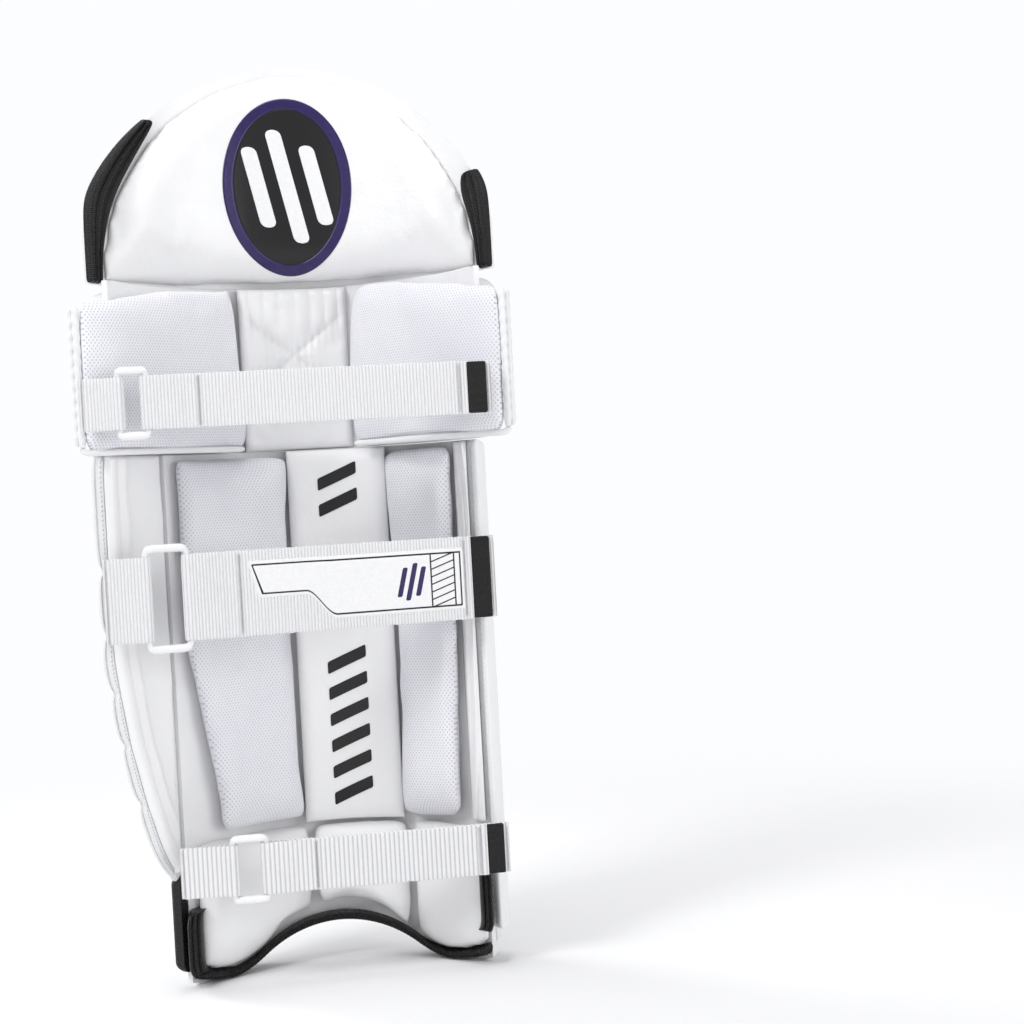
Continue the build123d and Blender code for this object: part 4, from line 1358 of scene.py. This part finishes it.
def knee_side_welt(name, side, x_out):
    """Two soft rolls up the outer end of a knee bolster, drawn in and out by their zigzag thread."""
    up = np.linspace(407 * MM, 507 * MM, 160)
    for number in range(2):
        wave = 0.25 * MM * np.sin(2 * np.pi * up / (9 * MM) + number * np.pi)
        x = side * (x_out + (0.5 + 3.6 * number) * MM + wave)
        back = AXIS_Y - (11 + 4.5 * number) * MM + 0 * up
        radius = (2.7 * MM + 0.12 * MM * np.cos(2 * np.pi * up / (9 * MM))) * tapered(160)
        path = np.stack([x, back, up], -1)
        round_tube(f"{name}_{number + 1}", path, radius, pu, flat=1.3, facing=(0, 1, 0))


bolster_piping("knee_piping_left", 1, 43.5 * MM, 153 * MM)
bolster_piping("knee_piping_right", -1, 40.5 * MM, 149 * MM)
knee_side_welt("knee_welt_left", 1, 153.5 * MM)
knee_side_welt("knee_welt_right", -1, 149.5 * MM)

# %% [markdown]
# The lining between the knee bolsters is quilted: upright pleats at the top, two crossing rows of
# stitches below them, and gathers along each row.

# %% Knee lining
LINING_CROSS = (2 * MM, 474 * MM)


def to_cross(x, up):
    """Distance to the nearer of two slanting lines through one point, at 38 degrees either way."""
    slope = math.tan(math.radians(38))
    away, rise = x - LINING_CROSS[0], up - LINING_CROSS[1]
    scale = math.sqrt(1 + slope**2)
    return np.minimum(np.abs(rise - slope * away), np.abs(rise + slope * away)) / scale


def knee_lining():
    low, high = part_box("knee_lining")[0][2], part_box("knee_lining")[1][2]
    grid = patch(-30.5 * MM, 53.5 * MM, low - 3 * MM, high, 110, 90, 0.5)
    u, up = grid[0], grid[1]

    def draw(u, up):
        x = u + SHIN_X
        upper = step(up, 484 * MM, 505 * MM)
        wander = 1.2 * MM * crumple(x, up, 25 * MM, 6)
        pleats = 1.9 * MM * np.abs(np.sin(np.pi * (x + wander) / (11.5 * MM))) * upper
        cross = to_cross(x, up)
        quilt = -3.4 * MM * np.exp(-cross / (5 * MM)) * (1 - 0.7 * upper)
        pull = 0.7 * MM * np.cos(2 * np.pi * x / (5.5 * MM)) * np.exp(-cross / (5 * MM)) * (1 - upper)
        return pleats + quilt + pull + 0.8 * MM * crumple(x, up, 9 * MM, 12)

    return leg_patch("knee_lining", grid, 9 * MM, pu_lining, 7 * MM, draw=draw)


knee_lining()

# %% Calf cushions and strips
CALF_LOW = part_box("calf_bolster_left")[0][2] + 0.5 * MM
CALF_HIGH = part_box("calf_bolster_left")[1][2] - 0.5 * MM


def calf_bolster(name, left, right, taper):
    """A long block whose outer edge draws in towards the ankle by taper."""
    drawn = lambda share: taper * (1 - step(share, 0.0, 0.6))
    outer = lambda share: right - drawn(share) if right > 0 else np.full_like(share, right)
    inner = lambda share: left + drawn(share) if left < 0 else np.full_like(share, left)
    thickness, shoulder = 24.5 * MM, 7 * MM
    grid = patch(inner, outer, CALF_LOW + 1 * MM, CALF_HIGH - 1 * MM, 100, 40, 0.5)
    piece = leg_patch(name, grid, thickness, mesh_cloth, shoulder)
    swell(piece, 3 * MM)
    creased(piece, 0.8 * MM, 20 * MM, len(name), across=0.4)
    return piece


calf_bolster("calf_bolster_left", 23.6 * MM, 106.8 * MM, 18 * MM)
calf_bolster("calf_bolster_right", -103.2 * MM, -54.6 * MM, 5 * MM)
centre_grid = patch(-53.8 * MM, 22.8 * MM, CALF_LOW, CALF_HIGH, 120, 50, 0.6)
centre_strip = leg_patch("centre_strip", centre_grid, 17 * MM, pu_lining, 12 * MM,
                         folds=0.7 * MM, seed=17, hollow=1.5 * MM, base_share=0.6)


def strip_bars(strip):
    """A column of slanted bars down the strip, left out where the calf strap lies over it."""
    lowest, spacing = 132 * MM, 20.5 * MM
    strap_low, strap_high = 252 * MM, 338 * MM
    for number in range(13):
        middle = lowest + number * spacing
        if strap_low < middle < strap_high:
            continue
        across, up, _ = rounded_plate(30 * MM, 9.5 * MM, 1.2 * MM, 10, 30)
        at = SHIN_X - 15.5 * MM
        slanted = middle + up - 0.42 * across
        flat_grid(f"strip_bar_{number + 1}", at + across, slanted, black_print, "lining", strip)


strip_bars(centre_strip)


def side_folds(u, up):
    """Upright folds 5 mm apart that wander a little from side to side."""
    wander = 0.16 * crumple(u, 0.3 * up, 40 * MM, 4) * 40 * MM
    return 1.5 * MM * np.sin(2 * np.pi * (u + wander) / (5 * MM))


side_grid = patch(-113.2 * MM, -104.4 * MM, CALF_LOW, CALF_HIGH, 130, 40, 0.5)
side_strip = leg_patch("side_strip_right", side_grid, 14 * MM, pu_lining, 4 * MM, seed=23,
                       draw=side_folds, base_share=0.5)

# %% Ankle cushions
ANKLE_TOP = ANKLE_HIGH - 0.6 * MM


def ankle_cushion(name, left, right):
    """A lobe of leather over the boot. Its lower edge follows the foot's outline just above the binding."""
    low = lambda u: rear_foot(u) + 5.0 * MM + 8 * MM * np.clip(1 - (u / (60 * MM)) ** 2, 0, 1)
    grid = patch(left + 0.8 * MM, right - 0.8 * MM, low, ANKLE_TOP, 60, 50, 0.6)
    thickness, shoulder = 20 * MM, 14 * MM
    piece = leg_patch(name, grid, thickness, pu_lining, shoulder)
    swell(piece, 2.6 * MM, 4.0, 4.5 * MM)
    creased(piece, 0.6 * MM, 18 * MM, 3 * len(name))
    return piece


ankle_cushion("ankle_cushion_left", 19.3 * MM, 108 * MM)
ankle_cushion("ankle_cushion_centre", -58 * MM, 19 * MM)
ankle_cushion("ankle_cushion_right", -112.5 * MM, -58.3 * MM)

# %% [markdown]
# Each strap is ribbed webbing. An anchor, sewn to the pad, holds a moulded ring. The strap goes through
# the ring and folds back on itself: the layer under it is sewn to the pad, and the free layer on top
# ends in a black hook tab. The free layer peels off about the ring's bar. Both the free and the sewn
# layer are then taken off their bodies, keeping their place.

# %% Straps
class Strap:
    """Where one strap lies: its anchor bar, how far it turns from straight across, and its sizes."""

    def __init__(self, name, bar, middle, tilt, pitch, ring_height, width, length, tab, tongue):
        self.name, self.middle, self.pitch = name, middle * MM, pitch * MM
        self.tab, self.tongue = tab * MM, tongue * MM
        self.ring_height, self.width, self.length = ring_height * MM, width * MM, length * MM
        angle = math.radians(tilt)
        self.along = np.array([-math.cos(angle), -math.sin(angle), 0.0])
        self.outward = np.array([-math.sin(angle), math.cos(angle), 0.0])
        self.anchor_bar = np.array([bar[0] * MM, AXIS_Y + bar[1] * MM, self.middle])
        self.strap_bar = self.anchor_bar + self.along * self.pitch
        self.rib = PITCH[name]

    def place(self, bar, along, outward, up=0.0):
        along, outward, up = np.broadcast_arrays(along, outward, up)
        place = bar + along[..., None] * self.along + outward[..., None] * self.outward
        return place + up[..., None] * UPRIGHT


STRAPS = [
    Strap("knee", (126, 4.6), 435, 0, 20, 51, 38, 240, 14, 27),
    Strap("calf", (115.5, -6), 296, 11, 30.5, 77, 62, 225, 15, 29),
    Strap("ankle", (67, -38), 93, 2, 25, 50, 38, 176, 13, 38),
]


def webbing_band(piece_name, strap, bar, line, thickness, body, nodes, wide=1.0, rib_depth=0.32):
    """Ribbed webbing along a line of (along, outward) points. The section is a flat oval with square
    shoulders; its half thickness is largest on each rib and falls by rib_depth between two ribs."""
    rough = through(np.asarray(line) * MM, 400)
    total = np.linalg.norm(np.diff(rough, axis=0), axis=1).sum()
    count = max(24, int(total / strap.rib * 6))
    route = through(np.asarray(line) * MM, count)
    run = np.linspace(0, total, count)
    ahead = np.gradient(route, axis=0)
    ahead /= np.linalg.norm(ahead, axis=1, keepdims=True)
    turn = np.linspace(0, 2 * np.pi, 36, endpoint=False)
    rise = np.sign(np.cos(turn)) * np.abs(np.cos(turn)) ** 0.35 * strap.width / 2 * wide
    selvedge = over_edge(strap.width / 2 * wide - np.abs(rise), 2.2 * MM)
    valley = (1 - np.abs(np.sin(np.pi * run / strap.rib)) ** 0.7)[:, None] * rib_depth * selvedge
    lift = np.sign(np.sin(turn)) * np.abs(np.sin(turn)) ** 0.35 * thickness / 2 * (1 - valley)
    edge_wave = 1 + 0.006 * np.sin(2 * np.pi * run / (3 * strap.rib))[:, None]
    centre = strap.place(bar, route[:, 0], route[:, 1])
    flat_out = strap.place(np.zeros(3), -ahead[:, 1], ahead[:, 0])
    across = lift[..., None] * flat_out[:, None]
    up = (rise * edge_wave)[..., None] * UPRIGHT
    points, faces = tube(centre, across, up)
    run = np.concatenate([run[:1], run, run[-1:]])
    cloth = np.stack(np.broadcast_arrays(run[:, None], rise), -1).reshape(-1, 2)
    return make_piece(piece_name, points, faces, cloth, webbing[strap.name], body, nodes)


def ring(strap):
    """A moulded frame: a rounded rectangle with upright bars, and thicker rounded bars at both ends."""
    half, tall = strap.pitch / 2, strap.ring_height / 2 - 2.6 * MM
    turn = np.linspace(0, 2 * np.pi, 120, endpoint=False)
    power = 0.22
    out = half * np.sign(np.cos(turn)) * np.abs(np.cos(turn)) ** power
    up = tall * np.sign(np.sin(turn)) * np.abs(np.sin(turn)) ** power
    route = through(np.stack([out, up], -1)[np.r_[0:120, 0]], 181)[:-1]
    middle = strap.anchor_bar + strap.along * half
    centre = strap.place(middle, route[:, 0], np.zeros(180), route[:, 1])
    ahead = np.roll(route, -1, axis=0) - np.roll(route, 1, axis=0)
    ahead /= np.linalg.norm(ahead, axis=1, keepdims=True)
    side = strap.place(np.zeros(3), -ahead[:, 1], np.zeros(180), ahead[:, 0])
    at_end = step(np.abs(route[:, 1]), tall - 3 * MM, tall)
    radius = (2.2 + 0.8 * at_end) * MM
    spin = np.linspace(0, 2 * np.pi, 16, endpoint=False)
    across = side[:, None] * (np.cos(spin)[None, :] * radius[:, None])[..., None]
    lift = strap.outward * (np.sin(spin)[None, :] * radius[:, None] * (1 + 0.12 * at_end[:, None]))[..., None]
    points, faces = tube(centre, across, lift, closed=True)
    cloth = np.stack(np.broadcast_arrays(np.linspace(0, 1, 180)[:, None], spin), -1).reshape(-1, 2) * 0.1
    name = f"{strap.name}_ring"
    return make_piece(name, points, faces, cloth, plastic, f"{name}_body", (name,))


def hook_tab(strap):
    name = f"{strap.name}_hook_tab"
    across, up, edge = rounded_plate(strap.tab, strap.width - 1 * MM, 1.6 * MM, 40, 24)
    along = across + strap.length - strap.tab / 2
    rounded = over_edge(edge, 1.5 * MM)
    height = 0.6 * MM + 2.6 * MM * rounded + 0.25 * MM * np.cos(2 * np.pi * up / (1.6 * MM)) * rounded
    face = strap.place(strap.strap_bar, along, height, up)
    under = strap.place(strap.strap_bar, along, 0.5 * MM, up)
    body = f"{strap.name}_strap_body"
    return make_slab(name, face, under, (across, up), hook_tape, (name,), body=body)


def bend(piece, strap, start, end):
    """Take a band off its body and out of the rig, keeping where it stands; the stretch from start to end
    along the strap is worked out but not used.
    """
    near = strap.place(strap.strap_bar, np.array(start * MM), np.array(0.0))
    far = strap.place(strap.strap_bar, np.array(end * MM), np.array(0.0))
    piece.parent = None
    del piece["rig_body"]
    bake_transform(piece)


def band(strap, part, bar, line, thickness, body, wide):
    name = f"{strap.name}_{part}"
    return webbing_band(name, strap, bar, line, thickness * MM, body, (name,), wide)


for strap in STRAPS:
    length, tongue = strap.length / MM, strap.tongue / MM
    ring_body, strap_body = f"{strap.name}_ring_body", f"{strap.name}_strap_body"
    ring(strap)
    anchor_line = [(-tongue, -2.9), (-tongue * 0.5, -2.9), (-5, -3.2), (0, -3.65), (2.6, -2.6)]
    anchor_line += [(3.65, 0.0), (2.6, 2.6), (0.0, 3.65)]
    anchor_line += [(-4.5, 2.6), (-tongue * 0.55, -0.4), (-tongue + 3, -0.7)]
    band(strap, "anchor", strap.anchor_bar, anchor_line, 2.0, "pad", 0.97)
    fold_line = [(5.5, 3.7), (2.8, 3.75), (0, 3.7), (-2.6, 2.6), (-3.7, 0)]
    fold_line += [(-2.6, -2.6), (0, -3.7), (3, -3.75), (7.8, -3.4)]
    band(strap, "fold", strap.strap_bar, fold_line, 2.2, ring_body, 0.99)
    free_line = [(5.3, 3.7), (12, 3.35), (24, 2.3), (36, 1.75), (0.5 * length, 1.7)]
    free_line += [(length - strap.tab / MM, 1.7)]
    free = band(strap, "strap_free", strap.strap_bar, free_line, 2.3, strap_body, 1.0)
    bend(free, strap, 5.5, 34)
    sewn_line = [(7.6, -3.4), (14, -3.0), (25, -2.2), (36, -1.75), (0.5 * length, -1.7), (length + 4, -1.7)]
    sewn = band(strap, "strap_sewn", strap.strap_bar, sewn_line, 2.3, "pad", 0.99)
    bend(sewn, strap, 60, 8)
    hook_tab(strap)

# %% [markdown]
# A thin label lies on the calf strap. Its outline has one slanted step, and a row of slanted cells is
# printed at its end. Bar tacks, which are short dense rows of thread, hold each strap beside its ring.

# %% Label and bar tacks
calf = next(strap for strap in STRAPS if strap.name == "calf")
LABEL_START, LABEL_END, LABEL_HALF = 42 * MM, 204 * MM, 23 * MM
LABEL_LIFT = 2.7 * MM
PRINT_LIFT, PRINT_THICK = LABEL_LIFT + 0.8 * MM, 0.4 * MM


def label_mark(name, along, up, width, height, corner, material, slant=0.0, rise=0.0):
    """A thin mark on the label. slant leans its sides, rise lifts its far end."""
    across, height_at, edge = rounded_plate(width, height, corner, 16, 24, slant)
    height_at = height_at + rise * across
    lift = PRINT_LIFT + PRINT_THICK * over_edge(edge, min(0.6 * MM, height / 3))
    face = calf.place(calf.strap_bar, along + across, lift, up + height_at)
    under = calf.place(calf.strap_bar, along + across, PRINT_LIFT - 0.3 * MM, up + height_at)
    return make_slab(name, face, under, (across, height_at), material, body="calf_strap_body")


def label_plate(name, shrink, lift, thick, material):
    """A plate from the strap's upper edge down to a line that steps lower by a slanted stretch."""
    start, end = LABEL_START + shrink, LABEL_END - shrink
    low = lambda at: -LABEL_HALF + shrink + 19 * MM * (1 - step(at, 84 * MM, 106 * MM))
    grid = patch(lambda share: start + 7 * MM * (1 - share), end, low, LABEL_HALF - shrink, 20, 70, 0.5)
    along, up = grid[0], grid[1]
    edge = np.min(grid[2:], axis=0)
    face = calf.place(calf.strap_bar, along, lift + thick * over_edge(edge, 0.6 * MM), up)
    under = calf.place(calf.strap_bar, along, lift - 0.3 * MM, up)
    return make_slab(name, face, under, (along, up), material, body="calf_strap_body")


label_plate("calf_label_rim", 0.0, LABEL_LIFT, 0.45 * MM, white_print)
label_plate("calf_label_line", 2.2 * MM, LABEL_LIFT + 0.3 * MM, 0.45 * MM, black_print)
label_plate("calf_label", 3.3 * MM, LABEL_LIFT + 0.5 * MM, 0.5 * MM, white_print)
for number in range(7):
    up = (number - 3) * 5.6 * MM
    name = f"calf_label_cell_{number + 1}"
    label_mark(name, LABEL_END - 17 * MM, up, 18 * MM, 1.1 * MM, 0.4 * MM, black_print, rise=0.35)
for number in range(2):
    at = LABEL_END - (8 + 18 * number) * MM
    label_mark(f"calf_label_rail_{number + 1}", at, 0, 1.3 * MM, 39 * MM, 0.4 * MM, black_print)
for number in range(3):
    at = LABEL_END - (48 - 7 * number) * MM
    tall = (22, 28, 22)[number] * MM
    label_mark(f"calf_label_bar_{number + 1}", at, 0, 4 * MM, tall, 1.5 * MM, violet_print, 0.25)


def bar_tack(strap, number, along, lift):
    """Short dense zigzag of thread across the strap: a thin tube swinging from side to side."""
    count = int(strap.width / (0.7 * MM))
    up = np.linspace(-0.46, 0.46, count) * strap.width
    swing = 1.3 * MM * np.where(np.arange(count) % 2, 1, -1)
    path = strap.place(strap.strap_bar, along + swing, np.full(count, lift), up)
    name, body = f"{strap.name}_bar_tack_{number}", f"{strap.name}_strap_body"
    facing = tuple(strap.outward)
    return round_tube(name, path, 0.28 * MM, thread_white, body, sides=5, facing=facing)


for strap in STRAPS:
    bar_tack(strap, 1, 36 * MM, 3.0 * MM)
    bar_tack(strap, 2, strap.length - strap.tab - 6 * MM, 3.0 * MM)
